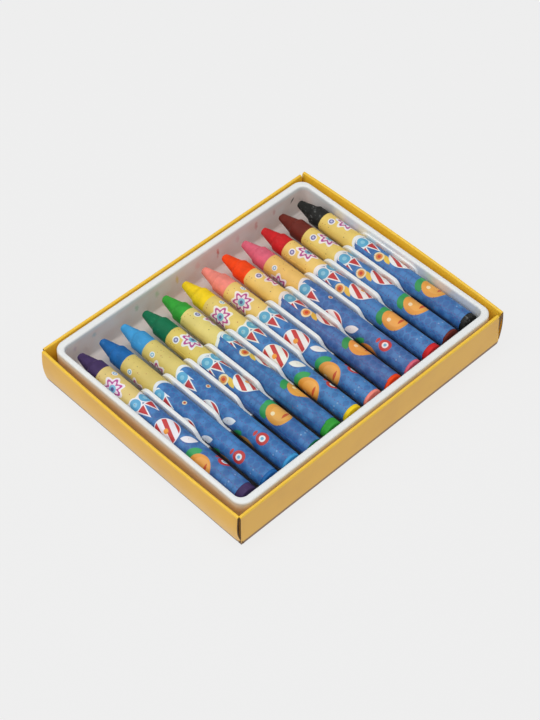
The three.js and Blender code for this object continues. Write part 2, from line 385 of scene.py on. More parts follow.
@dataclass(frozen=True, kw_only=True)
class FormedPolystyrene(Finish):
    """White high-impact polystyrene, vacuum formed: satin. Wax dust clings to the end wall by the
    tips, painted shade darkens the well under the sticks, and the skirt carries a painted warm
    reflection and shade of the yellow card. Each pair of places along Y or up Z is where a layer
    begins and where it is full."""

    name: str = "vacuum_formed_white_polystyrene"
    white: str = "#EEF0EF"
    dust: str = "#E9D7CE"
    dust_y: tuple[float, float] = (20.0, 44.0)
    dust_z: tuple[float, float] = (15.4, 14.0)
    dust_cloud: float = 7.0
    # Painted shade low in the well under the sticks, away from their tips.
    painted_gap_shade: str = "#6B625B"
    painted_gap_shade_y: tuple[float, float] = (24.0, 17.0)
    painted_gap_shade_z: tuple[float, float] = (11.2, 8.2)
    painted_gap_shade_share: float = 0.85
    # Painted warm reflection and shade of the yellow card on the skirt, weaker towards the foot.
    ink: str = "#D49634"
    skirt_reflection_z: tuple[float, float] = (16.1, 13.2)
    skirt_reflection_share: float = 0.55
    faded_z: tuple[float, float] = (2.0, 12.0)
    faded_share: float = 0.25
    skirt: tuple[float, float] = (0.5, 0.1)
    crumbs: float = 0.9
    smudges: tuple[WallSmudge, ...] = (
        WallSmudge(15.5, 11.6, 0.8, 1.9, "#D8452A", 0.75),
        WallSmudge(15.2, 9.4, 0.5, 1.2, "#D8452A", 0.35),
        WallSmudge(55.65, 12.2, 0.48, 1.6, "#1C1817", 1.0, slant=43.0),
        WallSmudge(-46.7, 12.5, 1.2, 1.2, "#6FB7C4", 0.4),
        WallSmudge(-56.0, 12.0, 1.0, 1.3, "#9A7BA6", 0.3),
        WallSmudge(-5.6, 11.6, 0.9, 2.2, "#E4C83C", 0.7),
        WallSmudge(-15.9, 11.4, 1.3, 1.8, "#7DBB6C", 0.4),
        WallSmudge(-26.0, 11.4, 1.2, 1.8, "#63AE7E", 0.4),
        WallSmudge(4.9, 11.6, 1.6, 2.0, "#E79E90", 0.3),
        WallSmudge(25.8, 11.4, 1.3, 2.0, "#D9606C", 0.25),
        WallSmudge(35.8, 11.8, 1.0, 2.2, "#C9423C", 0.45),
        WallSmudge(45.6, 12.2, 0.9, 1.6, "#C0504A", 0.35),
    )
    roughness: float = 0.42
    grain: float = 2.5
    detail: float = 2.0
    depth: float = 0.1
    strength: float = 0.08

    def colour(self, tree: Tree, at: Socket) -> Source:
        """Lays dust, painted shade under the sticks, the skirt's painted reflection and shade, and the
        smudges over the white, each by its own share.

        Args:
            tree: the material's tree.
            at: place in metres.

        Returns:
            The node that gives the colour.
        """
        x, y, z = put(tree, "ShaderNodeSeparateXYZ", {0: at}).outputs
        spans = {
            "far_end": (y, self.dust_y, 0.0, 1.0),
            "below_rim": (z, self.dust_z, 0.0, 1.0),
            "under_sticks": (z, self.painted_gap_shade_z, 0.0, self.painted_gap_shade_share),
            "before_tips": (y, self.painted_gap_shade_y, 0.0, 1.0),
            # Share of the skirt's painted reflection and shade of the card.
            "rubbed": (z, self.skirt_reflection_z, 0.0, self.skirt_reflection_share),
            "faded": (z, self.faded_z, self.faded_share, 1.0),
        }
        on = {}
        for name, (along, (start, end), low, high) in spans.items():
            takes = {0: along, 1: start * MM, 2: end * MM, 3: low, 4: high}
            on[name] = put(tree, "ShaderNodeMapRange", takes)
        outside = self.outside(tree, x, y)
        inner = put(tree, "ShaderNodeMath", {0: 1.0, 1: outside}, operation="SUBTRACT")
        behind = put(tree, "ShaderNodeMath", {0: on["far_end"], 1: inner}, operation="MULTIPLY")
        cloud = put(tree, "ShaderNodeTexNoise", {0: at, "Scale": 1 / (self.dust_cloud * MM), "Detail": 3.0})
        patchy = put(tree, "ShaderNodeMapRange", {0: cloud, 1: 0.3, 2: 0.75, 3: 0.45, 4: 1.0})
        # Layers: wax dust at the far end, painted shade under the sticks, and painted reflection and shade of
        # the card on the skirt.
        layers = (
            (("MULTIPLY", ("MULTIPLY", behind, on["below_rim"]), patchy), self.dust),
            (("MULTIPLY", on["under_sticks"], ("MULTIPLY", on["before_tips"], inner)), self.painted_gap_shade),
            (("MULTIPLY", ("MULTIPLY", on["rubbed"], on["faded"]), outside), self.ink),
        )
        shade = linear(self.white)
        for share, over in layers:
            shade = put(tree, "ShaderNodeMix", {0: share, 6: shade, 7: linear(over)}, data_type="RGBA")
        rough = put(tree, "ShaderNodeTexNoise", {0: at, "Scale": 1 / (self.crumbs * MM), "Detail": 2.0})
        for mark in self.smudges:
            share = ("MULTIPLY", self.smear(tree, at, rough, mark), behind)
            shade = put(tree, "ShaderNodeMix", {0: share, 6: shade, 7: linear(mark.colour)}, data_type="RGBA")
        return shade

    def outside(self, tree: Tree, x: Socket, y: Socket) -> Node:
        """Finds the skirt.

        Args:
            tree: the material's tree.
            x: place across the sticks in metres.
            y: place along the sticks in metres.

        Returns:
            1 outside the rim's rounded outline and 0 inside it.
        """
        flat = put(tree, "ShaderNodeCombineXYZ", {0: x, 1: y})
        off = put(tree, "ShaderNodeVectorMath", {0: flat}, operation="ABSOLUTE")
        core = ((RIM_HALF_X - RIM_CORNER) * MM, (RIM_HALF_Y - RIM_CORNER) * MM, 0.0)
        past = put(tree, "ShaderNodeVectorMath", {0: off, 1: core}, operation="SUBTRACT")
        kept = put(tree, "ShaderNodeVectorMath", {0: past, 1: (0, 0, 0)}, operation="MAXIMUM")
        far = put(tree, "ShaderNodeVectorMath", {0: kept}, operation="LENGTH")
        start, end = ((RIM_CORNER - inset) * MM for inset in self.skirt)
        return put(tree, "ShaderNodeMapRange", {0: far, 1: start, 2: end})

    def smear(self, tree: Tree, at: Socket, rough: Node, mark: WallSmudge) -> Node:
        """Finds where one smudge lies.

        Args:
            tree: the material's tree.
            at: place in metres.
            rough: fine noise that breaks the smudge up.
            mark: the smudge.

        Returns:
            The smudge's strength on it, 0 away from it.
        """
        middle = (mark.x * MM, 0.0, mark.z * MM)
        spin = {0: at, 1: middle, 3: -math.radians(mark.slant)}
        turned = put(tree, "ShaderNodeVectorRotate", spin, rotation_type="Y_AXIS")
        moved = put(tree, "ShaderNodeVectorMath", {0: turned, 1: middle}, operation="SUBTRACT")
        scale = (1 / (mark.width * MM), 0.0, 1 / (mark.height * MM))
        sized = put(tree, "ShaderNodeVectorMath", {0: moved, 1: scale}, operation="MULTIPLY")
        far = put(tree, "ShaderNodeVectorMath", {0: sized}, operation="LENGTH")
        return put(tree, "ShaderNodeMapRange", {0: ("ADD", far, rough), 1: 1.6, 2: 0.8, 4: mark.strength})


@dataclass(frozen=True, kw_only=True)
class PastelWax(Finish):
    """Cast oil pastel: pigment in wax and oil, dense and waxy, with rubbed and chipped spots."""

    pigment: str
    rubbed: str
    rubbed_share: float = 0.2
    cloud: float = 3.5
    scuff: float = 0.8
    scuff_stretch: float = 0.45
    patch: float = 2.6
    roughness: float = 0.55
    specular: float = 0.18
    grain: float = 0.5
    depth: float = 0.06
    strength: float = 0.25

    def colour(self, tree: Tree, at: Socket) -> Source:
        """Clouds the pigment and rubs it off in scuffs that run along the stick.

        Args:
            tree: the material's tree.
            at: place in metres.

        Returns:
            The node that gives the colour.
        """
        cloud = put(tree, "ShaderNodeTexNoise", {0: at, "Scale": 1 / (self.cloud * MM), "Detail": 4.0})
        shade = put(tree, "ShaderNodeMapRange", {0: cloud, 1: 0.3, 2: 0.7, 3: 0.82, 4: 1.1})
        base = put(tree, "ShaderNodeVectorMath", {0: linear(self.pigment)[:3], 3: shade}, operation="SCALE")
        along = (1.0, self.scuff_stretch, 1.0)
        drawn = put(tree, "ShaderNodeVectorMath", {0: at, 1: along}, operation="MULTIPLY")
        scuff = put(tree, "ShaderNodeTexNoise", {0: drawn, "Scale": 1 / (self.scuff * MM), "Detail": 5.0})
        patch = put(tree, "ShaderNodeTexNoise", {0: at, "Scale": 1 / (self.patch * MM), "Detail": 2.0})
        fine = put(tree, "ShaderNodeMapRange", {0: scuff, 1: 0.54, 2: 0.66})
        wide = put(tree, "ShaderNodeMapRange", {0: patch, 1: 0.45, 2: 0.62, 4: self.rubbed_share})
        shades = {0: ("MULTIPLY", fine, wide), 6: base, 7: linear(self.rubbed)}
        return put(tree, "ShaderNodeMix", shades, data_type="RGBA")


@dataclass
class LabelPrint:
    """Inks laid one over another on the flat label. Places are in millimetres of paper: across
    the wrap from its free edge, and along it from the end by the tip."""

    tree: Tree
    place: Socket
    across: Socket
    along: Socket
    ink: Source

    def inside(self, distance: Source, size: float, soft: float = 0.09) -> Node:
        """Fills a shape.

        Args:
            distance: how far each place is out from the shape's middle.
            size: the distance at which its edge lies.
            soft: half the width of its edge, as a printed dot spreads.

        Returns:
            1 inside the shape and 0 outside it.
        """
        return put(self.tree, "ShaderNodeMapRange", {0: distance, 1: size + soft, 2: size - soft})

    def lay(self, mask: Source, colour: str, strength: float = 1.0) -> None:
        """Prints one colour.

        Args:
            mask: 1 where it is printed.
            colour: its sRGB hex.
            strength: how well it covers.
        """
        if strength < 1:
            mask = ("MULTIPLY", mask, strength)
        shades = {0: mask, 6: self.ink, 7: linear(colour)}
        self.ink = put(self.tree, "ShaderNodeMix", shades, data_type="RGBA")

    def far(self, x: float, y: float) -> Node:
        """Distance from a point of the paper."""
        return put(self.tree, "ShaderNodeVectorMath", {0: self.place, 1: (x, y, 0.0)}, operation="DISTANCE")

    def turned(self, x: float, y: float, degrees: float) -> tuple[Socket, Socket]:
        """Place seen from a point.

        Args:
            x: the point's place across the paper.
            y: its place along the paper.
            degrees: turn of the axes about it.

        Returns:
            Place across and along in the turned axes.
        """
        centre = (x, y, 0.0)
        spun = put(self.tree, "ShaderNodeVectorRotate", {0: self.place, 1: centre, 3: math.radians(degrees)})
        moved = put(self.tree, "ShaderNodeVectorMath", {0: spun, 1: centre}, operation="SUBTRACT")
        parts = put(self.tree, "ShaderNodeSeparateXYZ", {0: moved})
        return parts.outputs[0], parts.outputs[1]

    def disc(self, x: float, y: float, radius: float, colour: str) -> None:
        """Prints a disc."""
        self.lay(self.inside(self.far(x, y), radius), colour)

    def target(self, x: float, y: float, radius: float, colours: tuple[str, ...]) -> None:
        """Prints rings of equal width.

        Args:
            x: place across the paper.
            y: place along the paper.
            radius: the outermost ring's radius.
            colours: one for each ring, the outermost first.
        """
        away = self.far(x, y)
        for step, colour in enumerate(colours):
            self.lay(self.inside(away, radius * (1 - step / len(colours))), colour)

    def leaf(self, x: float, y: float, degrees: float, length: float, width: float, colour: str) -> None:
        """Prints a pointed leaf, the shape that two discs share.

        Args:
            x: place across the paper.
            y: place along the paper.
            degrees: its turn.
            length: from point to point.
            width: at its middle.
            colour: its sRGB hex.
        """
        u, v = self.turned(x, y, degrees)
        round_by = (length**2 + width**2) / (4 * width)
        off = {0: ("ABSOLUTE", u), 1: round_by - width / 2}
        side = put(self.tree, "ShaderNodeMath", off, operation="ADD")
        reach = ("SQRT", ("ADD", ("MULTIPLY", side, side), ("MULTIPLY", v, v)))
        self.lay(self.inside(reach, round_by), colour)

    def striped_ball(self, x: float, y: float, radius: float, degrees: float, band: str) -> None:
        """Prints a white play ball with bands of one colour and a small orange cap.

        Args:
            x: place across the paper.
            y: place along the paper.
            radius: the ball's radius.
            degrees: turn of its bands.
            band: the bands' sRGB hex.
        """
        self.disc(x, y, radius + 0.35, "#F2F4F5")
        ball = self.inside(self.far(x, y), radius)
        u, _ = self.turned(x, y, degrees)
        stripe = self.inside(("PINGPONG", ("ADD", u, 20.0), 1.9), 0.85)
        self.lay(("MULTIPLY", ball, stripe), band)
        self.disc(x, y, radius * 0.2, "#F2A23A")

    def blossom(self, x: float, y: float, radius: float, petals: int) -> None:
        """Prints a white blossom with a magenta ring and a pale blue heart.

        Args:
            x: place across the paper.
            y: place along the paper.
            radius: its radius to the petals' tips.
            petals: how many it has.
        """
        u, v = self.turned(x, y, 12.0)
        angle = ("MULTIPLY", ("ARCTAN2", v, u), float(petals))
        wave = ("MULTIPLY", ("COSINE", angle), radius * 0.14)
        away = put(self.tree, "ShaderNodeMath", {0: self.far(x, y), 1: wave}, operation="SUBTRACT")
        for share, colour in ((0.86, "#F4F1F2"), (0.66, "#BD4C98"), (0.46, "#F1E7F0")):
            self.lay(self.inside(away, radius * share), colour)
        self.disc(x, y, radius * 0.3, "#7FC3DD")
        self.disc(x, y, radius * 0.14, "#5B5E9E")

    def fruit(self, x: float, y: float, radius: float) -> None:
        """Prints an orange with two leaves, a gleam and a shaded foot.

        Args:
            x: place across the paper.
            y: place along the paper.
            radius: the orange's radius.
        """
        self.leaf(x + radius * 0.55, y - radius * 1.0, 68.0, radius * 1.5, radius * 0.75, "#2F9A55")
        self.leaf(x - radius * 0.5, y - radius * 1.0, -62.0, radius * 1.6, radius * 0.8, "#35A860")
        self.disc(x, y, radius, "#E9A244")
        self.disc(x - radius * 0.12, y + radius * 0.12, radius * 0.72, "#EFAF55")
        self.disc(x + radius * 0.35, y - radius * 0.3, radius * 0.16, "#F8E3B8")
        self.leaf(x - radius * 0.2, y + radius * 0.45, 85.0, radius * 0.9, radius * 0.22, "#CF5A34")

    def pennants(self, top: float, low: float, high: float, ball: float = 5.0, flag: float = 4.1) -> None:
        """Prints a row of pale blue balls and red pennants with white edges along the border.

        Args:
            top: where along the paper the balls' middles lie.
            low: where the row begins across the paper.
            high: where it ends.
            ball: from ball to ball.
            flag: from pennant to pennant.
        """
        tree = self.tree
        within = {0: ("GREATER_THAN", self.across, low), 1: ("LESS_THAN", self.across, high)}
        span = put(tree, "ShaderNodeMath", within, operation="MULTIPLY")
        turn = ("MULTIPLY", ("FRACT", ("DIVIDE", self.across, ball)), ball)
        cell = put(tree, "ShaderNodeMath", {0: turn, 1: ball / 2}, operation="SUBTRACT")
        drop = put(tree, "ShaderNodeMath", {0: self.along, 1: top}, operation="SUBTRACT")
        apart = ("ADD", ("MULTIPLY", cell, cell), ("MULTIPLY", drop, drop))
        away = put(tree, "ShaderNodeMath", {0: apart}, operation="SQRT")
        place = ("MULTIPLY", ("FRACT", ("DIVIDE", ("ADD", self.across, 1.3), flag)), flag)
        side = ("ABSOLUTE", ("SUBTRACT", place, flag / 2))
        below = put(tree, "ShaderNodeMath", {0: self.along, 1: top + 2.6}, operation="SUBTRACT")
        slant = ("MULTIPLY_ADD", below, 0.36, ("SUBTRACT", side, 1.6))
        edge = put(tree, "ShaderNodeMath", {0: slant, 1: ("MULTIPLY", below, -1.0)}, operation="MAXIMUM")
        prints = (
            (edge, 0.5, "#F1F3F4"),
            (away, 2.85, "#F1F3F4"),
            (edge, 0.0, "#C4393B"),
            (away, 2.3, "#5FAFD6"),
            (away, 0.9, "#8CCBE4"),
        )
        for shape, size, colour in prints:
            self.lay(("MULTIPLY", self.inside(shape, size), span), colour)

    def lattice(self, mask: Node, step: float = 2.75) -> None:
        """Prints tone-on-tone rounds with small stars between them.

        Args:
            mask: 1 on the part that they cover.
            step: from round to round.
        """
        tree = self.tree
        column = put(tree, "ShaderNodeMath", {0: ("DIVIDE", self.across, step)}, operation="FLOOR")
        shift = ("MULTIPLY", ("PINGPONG", column, 1.0), 0.5)
        row = put(tree, "ShaderNodeMath", {0: ("DIVIDE", self.along, step), 1: shift}, operation="ADD")
        share = ("FRACT", ("DIVIDE", self.across, step))
        u = put(tree, "ShaderNodeMath", {0: share, 1: 0.5}, operation="SUBTRACT")
        v = put(tree, "ShaderNodeMath", {0: ("FRACT", row), 1: 0.5}, operation="SUBTRACT")
        cell = put(tree, "ShaderNodeCombineXYZ", {0: column, 1: ("FLOOR", row)})
        luck = put(tree, "ShaderNodeTexWhiteNoise", {0: cell}, noise_dimensions="2D")
        dot = self.inside(("SQRT", ("ADD", ("MULTIPLY", u, u), ("MULTIPLY", v, v))), 0.42, 0.03)
        for chance, colour in (("GREATER_THAN", "#4F8FD2"), ("LESS_THAN", "#23579F")):
            self.lay(("MULTIPLY", dot, ("MULTIPLY", (chance, luck, 0.5), mask)), colour, 0.45)
        star = ("ADD", ("SQRT", ("SUBTRACT", 0.5, ("ABSOLUTE", u))), ("SQRT", ("ABSOLUTE", v)))
        self.lay(("MULTIPLY", self.inside(star, 0.56, 0.05), mask), "#5B4F9A", 0.8)


@dataclass(frozen=True, kw_only=True)
class LabelPaper(Finish):
    """Coated label paper, offset printed and rolled on: soft gloss over fine fibre. The wax that
    soaks in tints the whole print."""

    yellow: str
    blue: str
    soak: str
    border: float = 17.5
    border_wave: float = 1.1
    border_step: float = 12.88
    blue_from: float = 18.9
    cloud: float = 6.0
    roughness: float = 0.45
    specular: float = 0.45
    grain: float = 0.45
    depth: float = 0.03
    strength: float = 0.15

    def colour(self, tree: Tree, at: Socket) -> Source:
        """Prints yellow by the tip and blue beyond a wavy white border, then motifs and crumbs.

        Args:
            tree: the material's tree.
            at: place in metres.

        Returns:
            The node that gives the colour.
        """
        paper = put(tree, "ShaderNodeAttribute", attribute_name="paper_mm").outputs["Vector"]
        across, along, _ = put(tree, "ShaderNodeSeparateXYZ", {0: paper}).outputs
        art = LabelPrint(tree, paper, across, along, linear(self.yellow))
        wave = ("MULTIPLY", ("SINE", ("MULTIPLY", across, 2 * math.pi / self.border_step)), self.border_wave)
        before = put(tree, "ShaderNodeMath", {0: ("SUBTRACT", along, wave), 1: -1.0}, operation="MULTIPLY")
        art.lay(art.inside(before, -self.border), "#EFF1F2")
        beyond = art.inside(before, -self.blue_from)
        art.lay(beyond, self.blue)
        art.lattice(beyond)
        self.motifs(art)
        self.specks(art)
        soak = {0: 1.0, 6: art.ink, 7: linear(self.soak)}
        soaked = put(tree, "ShaderNodeMix", soak, data_type="RGBA", blend_type="MULTIPLY")
        cloud = put(tree, "ShaderNodeTexNoise", {0: at, "Scale": 1 / (self.cloud * MM), "Detail": 4.0})
        shade = put(tree, "ShaderNodeMapRange", {0: cloud, 1: 0.3, 2: 0.7, 3: 0.98, 4: 1.13})
        return put(tree, "ShaderNodeVectorMath", {0: soaked, 3: shade}, operation="SCALE")

    def motifs(self, art: LabelPrint) -> None:
        """Prints the label's own plain motifs: balls, blossom, fruit, rings and pennants.

        Args:
            art: the print so far.
        """
        art.pennants(20.6, 10.4, 24.6)
        art.blossom(18.4, 8.8, 5.2, 7)
        art.target(23.0, 4.2, 1.5, ("#F2F2F4", "#6E6FB0", "#C9CCEA"))
        art.target(12.9, 4.6, 1.2, ("#F2F2F4", "#6BB9D8", "#F2F2F4"))
        art.leaf(22.6, 33.4, 25.0, 5.2, 2.2, "#E9C24A")
        art.striped_ball(17.6, 37.2, 5.1, 24.0, "#CC3F3E")
        art.target(23.4, 30.2, 2.1, ("#EFE0B4", "#E38A3C", "#CC4630"))
        art.leaf(14.4, 46.2, -35.0, 6.6, 3.0, "#EFF1F3")
        art.fruit(20.2, 56.0, 5.0)
        art.target(11.4, 61.4, 2.5, ("#C93B3A", "#C93B3A", "#F0F2F4", "#6FB7D8"))
        art.leaf(11.4, 57.9, 90.0, 2.6, 1.2, "#C93B3A")
        art.disc(8.6, 30.6, 0.9, "#EFE0B4")
        art.disc(8.6, 30.6, 0.5, "#CC4630")
        for x, y in ((21.6, 68.4), (20.0, 68.9), (18.6, 68.5), (17.0, 69.0), (13.4, 68.6), (11.6, 68.9)):
            art.lay(art.inside(art.far(x, y), 0.34), "#8FB4DE", 0.7)

    def specks(self, art: LabelPrint) -> None:
        """Lays the crumbs of wax that stick to the paper, most of them by the tip.

        Args:
            art: the print so far.
        """
        crumbs = {0: art.place, "Scale": 0.62, "Randomness": 1.0}
        cells = put(art.tree, "ShaderNodeTexVoronoi", crumbs, voronoi_dimensions="2D")
        split = put(art.tree, "ShaderNodeSeparateColor", {0: cells.outputs["Color"]}).outputs
        near = put(art.tree, "ShaderNodeMapRange", {0: art.along, 1: 4.0, 2: 30.0, 3: 0.62, 4: 0.9})
        size = ("MULTIPLY_ADD", split[1], 0.1, 0.035)
        small = {0: ("LESS_THAN", cells.outputs["Distance"], size), 1: ("GREATER_THAN", split[0], near)}
        crumb = put(art.tree, "ShaderNodeMath", small, operation="MULTIPLY")
        art.lay(("MULTIPLY", crumb, ("GREATER_THAN", split[2], 0.45)), "#B8402E", 0.75)
        art.lay(("MULTIPLY", crumb, ("LESS_THAN", split[2], 0.45)), "#3A3226", 0.7)


class Colour(Enum):
    """The twelve pastels from -X to +X."""

    PURPLE = "purple"
    BLUE = "blue"
    LIGHT_BLUE = "light_blue"
    DARK_GREEN = "dark_green"
    GREEN = "green"
    YELLOW = "yellow"
    SALMON = "salmon"
    ORANGE = "orange"
    PINK = "pink"
    RED = "red"
    BROWN = "brown"
    BLACK = "black"


@dataclass(frozen=True)
class Pastel:
    """One stick and its label: how far it has slid, the bare end it shows, how its paper is turned,
    and the sizes of its cone, its shoulder, its rounded tip and its bevelled end. Its tip is worn
    flat by between the two depths of `worn`, across up to `tilt`."""

    colour: Colour
    slid: float
    bare: float
    seam: float
    wax: PastelWax
    paper: LabelPaper
    cone_length: float = 7.6
    cone_base: float = 3.15
    shoulder: float = 1.3
    shoulder_run: float = 1.2
    tip_radius: float = 1.6
    tip_round: float = 0.5
    bevel: float = 0.25
    knocks_from: float = 80.5
    knock_size: float = 2.6
    knock_depths: tuple[float, float] = (0.05, 0.02)
    tilt: float = 0.3
    worn: tuple[float, float] = (0.05, 0.22)
    first_seed: int = 40
    sides: int = 64
    cone_steps: int = 84
    sharp_above: float = 50.0

    @property
    def place(self) -> int:
        """Place in the row, from 0."""
        return list(Colour).index(self.colour)

    @property
    def start(self) -> float:
        """Y of the stick's flat end."""
        return STICK_END_GAP + self.slid - WELL_HALF_Y

    def profile(self) -> np.ndarray:
        """Radius of the stick along its length, with its edges worn round.

        Returns:
            Rows of distance from the flat end and radius.
        """
        base = STICK_LENGTH - self.cone_length
        step = base - self.shoulder
        inner = self.tip_radius - self.tip_round
        bend = np.radians([10, 25, 40, 55, 70, 90])
        round_from = STICK_LENGTH - self.tip_round
        r = self.tip_round
        tip = [(round_from + r * math.sin(a), inner + r * math.cos(a)) for a in bend]
        edge = [(step - self.shoulder_run, STICK_RADIUS), (step, STICK_RADIUS), (base, self.cone_base)]
        corners = np.array([*edge, *tip])
        run = np.concatenate([[0], np.cumsum(np.hypot(*np.diff(corners, axis=0).T))])
        fine = np.linspace(0, run[-1], self.cone_steps)
        line = np.stack([np.interp(fine, run, corners[:, 0]), np.interp(fine, run, corners[:, 1])], axis=1)
        soft = line.copy()
        soft[1:-1] = (line[:-2] + 4 * line[1:-1] + line[2:]) / 6
        barrel = [(0, 0.02), (0, 1.9), (0, STICK_RADIUS - self.bevel)]
        barrel += [(0.08, STICK_RADIUS - 0.08), (self.bevel, STICK_RADIUS)]
        barrel += [(y, STICK_RADIUS) for y in np.linspace(1.0, step - 2.0, 12)]
        cap = [(STICK_LENGTH, r) for r in (0.8, 0.4, 0.02)]
        return np.array([*barrel, *soft.tolist(), *cap])

    def stick(self) -> Piece:
        """Casts the stick, with small knocks on its cone and a worn flat on its tip.

        Returns:
            The stick in its place.
        """
        profile = self.profile()
        turn = np.linspace(0, 2 * math.pi, self.sides, endpoint=False)
        rng = np.random.default_rng(self.first_seed + self.place)
        lean = [rng.uniform(-self.tilt, self.tilt) for _ in range(2)]
        tilt = Vector((lean[0], 1.0, lean[1])).normalized()
        cut = rng.uniform(*self.worn)
        deep, fine = self.knock_depths
        points = []
        for y, radius in profile:
            on_cone = max(0.0, min(1.0, (y - self.knocks_from) / 1.5))
            for a in turn:
                p = Vector((radius * math.cos(a), y, radius * math.sin(a)))
                seed = p / self.knock_size + Vector((0, 0, 31.0 * self.place))
                knock = deep * noise.noise(seed) + fine * noise.noise(seed * 5.1)
                grow = 1 + min(0.0, knock) * on_cone / max(radius, 0.6)
                p.x *= grow
                p.z *= grow
                over = (p - Vector((0, STICK_LENGTH - cut, 0))).dot(tilt)
                if over > 0 and on_cone == 1:
                    p -= tilt * over * 0.9
                points.append((stick_x(self.place) + p.x, self.start + p.y, AXIS_Z + p.z))
        faces = ring_faces(len(profile), self.sides) + ring_ends(len(profile), self.sides)
        name = f"{self.colour.value}_cast_stick"
        piece = mesh_piece(name, np.array(points), [f[::-1] for f in faces], self.wax.material())
        settle(piece, self.sharp_above)
        return piece


@dataclass(frozen=True)
class LabelRoll:
    """Geometry Nodes that roll a flat label once round a stick, its free edge lapped over its start."""

    columns: int = 113
    rows: int = 41
    crinkle: float = 0.025
    crinkle_size: float = 5.0
    skew: float = 0.35
    sharp_above: float = 60.0
    lengths: tuple[str, ...] = (
        "Wrap", "Lap", "Length", "Paper", "Inner radius", "Skew", "Crinkle", "Centre X", "Start Y", "Axis Z"
    )

    def tree(self) -> tuple[Tree, dict[str, str]]:
        """Builds the node tree, whose inputs are lengths, a turn, a seed and the label's material.

        Returns:
            The tree, and for each input's name its identifier.
        """
        tree = bpy.data.node_groups.new("rolled_label", "GeometryNodeTree")
        kinds = dict.fromkeys((*self.lengths, "Turn", "Seed"), "NodeSocketFloat")
        kinds["Label"] = "NodeSocketMaterial"
        ids = {}
        for name, kind in kinds.items():
            ids[name] = tree.interface.new_socket(name, in_out="INPUT", socket_type=kind).identifier
        tree.interface.new_socket("Geometry", in_out="OUTPUT", socket_type="NodeSocketGeometry")
        given = put(tree, "NodeGroupInput").outputs
        wrap, lap, length, paper = (given[name] for name in self.lengths[:4])
        width = put(tree, "ShaderNodeMath", {0: wrap, 1: lap}, operation="ADD")
        size = {"Size X": width, "Size Y": length, "Vertices X": self.columns, "Vertices Y": self.rows}
        grid = put(tree, "GeometryNodeMeshGrid", size)
        flat = put(tree, "ShaderNodeSeparateXYZ", {0: put(tree, "GeometryNodeInputPosition")}).outputs
        across = put(tree, "ShaderNodeMath", {0: width, 1: 0.5, 2: flat[0]}, operation="MULTIPLY_ADD")
        along = put(tree, "ShaderNodeMath", {0: length, 1: 0.5, 2: flat[1]}, operation="MULTIPLY_ADD")
        from_tip = ("SUBTRACT", length, along)
        printed = put(tree, "ShaderNodeCombineXYZ", {0: ("DIVIDE", across, MM), 1: ("DIVIDE", from_tip, MM)})
        keeps = {"Geometry": grid, "Name": "paper_mm", "Value": printed}
        kept = put(tree, "GeometryNodeStoreNamedAttribute", keeps, data_type="FLOAT_VECTOR", domain="POINT")
        share = put(tree, "ShaderNodeMath", {0: across, 1: wrap}, operation="DIVIDE")
        turns = {0: share, 1: 2 * math.pi, 2: given["Turn"]}
        turn = put(tree, "ShaderNodeMath", turns, operation="MULTIPLY_ADD")
        ramp = {0: across, 1: lap, 2: ("MULTIPLY", lap, 1.35), 3: 1.0, 4: 0.0}
        lapped = put(tree, "ShaderNodeMapRange", ramp, interpolation_type="SMOOTHSTEP")
        layers = ("MULTIPLY_ADD", paper, ("ADD", lapped, 1.0), given["Inner radius"])
        wave_at = put(tree, "ShaderNodeCombineXYZ", {0: across, 1: along, 2: given["Seed"]})
        finely = {0: wave_at, "Scale": 1 / (self.crinkle_size * MM), "Detail": 1.0}
        low = ("SUBTRACT", put(tree, "ShaderNodeTexNoise", finely), 1.0)
        round_by = {0: low, 1: given["Crinkle"], 2: layers}
        radius = put(tree, "ShaderNodeMath", round_by, operation="MULTIPLY_ADD")
        x = ("MULTIPLY_ADD", radius, ("COSINE", turn), given["Centre X"])
        z = ("MULTIPLY_ADD", radius, ("SINE", turn), given["Axis Z"])
        y = ("ADD", ("MULTIPLY_ADD", share, given["Skew"], given["Start Y"]), along)
        place = put(tree, "ShaderNodeCombineXYZ", {0: x, 1: y, 2: z})
        rolled = put(tree, "GeometryNodeSetPosition", {"Geometry": kept, "Position": place})
        outward = put(tree, "GeometryNodeFlipFaces", {0: rolled})
        real = put(tree, "GeometryNodeRealizeInstances", {0: outward})
        dressed = put(tree, "GeometryNodeSetMaterial", {"Geometry": real, "Material": given["Label"]})
        put(tree, "NodeGroupOutput", {0: dressed})
        return tree, ids

    def rolled(self, pastel: Pastel) -> Piece:
        """Rolls one label.

        Args:
            pastel: the stick it goes round.

        Returns:
            The wrapper as a plain mesh with the paper's thickness.
        """
        tree, ids = self.tree()
        start = pastel.start + pastel.bare - self.skew / 2
        sizes = (
            2 * math.pi * WRAPPER_RADIUS, LAP_WIDTH, WRAPPER_LENGTH, PAPER, WRAPPER_RADIUS - PAPER,
            self.skew, self.crinkle, stick_x(pastel.place), start, AXIS_Z,
        )
        name = f"{pastel.colour.value}_paper_wrapper"
        base = bpy.data.objects.new(name, bpy.data.meshes.new(name))
        bpy.context.scene.collection.objects.link(base)
        roll = base.modifiers.new("roll", "NODES")
        roll.node_group = tree
        for key, value in zip(self.lengths, sizes):
            roll[ids[key]] = value * MM
        roll[ids["Turn"]] = math.radians(pastel.seam)
        roll[ids["Seed"]] = float(pastel.place)
        roll[ids["Label"]] = pastel.paper.material()
        settle(base, self.sharp_above)
        thick = base.modifiers.new("paper", "SOLIDIFY")
        thick.thickness = PAPER * MM
        thick.offset = -1
        settle(base, self.sharp_above)
        return base


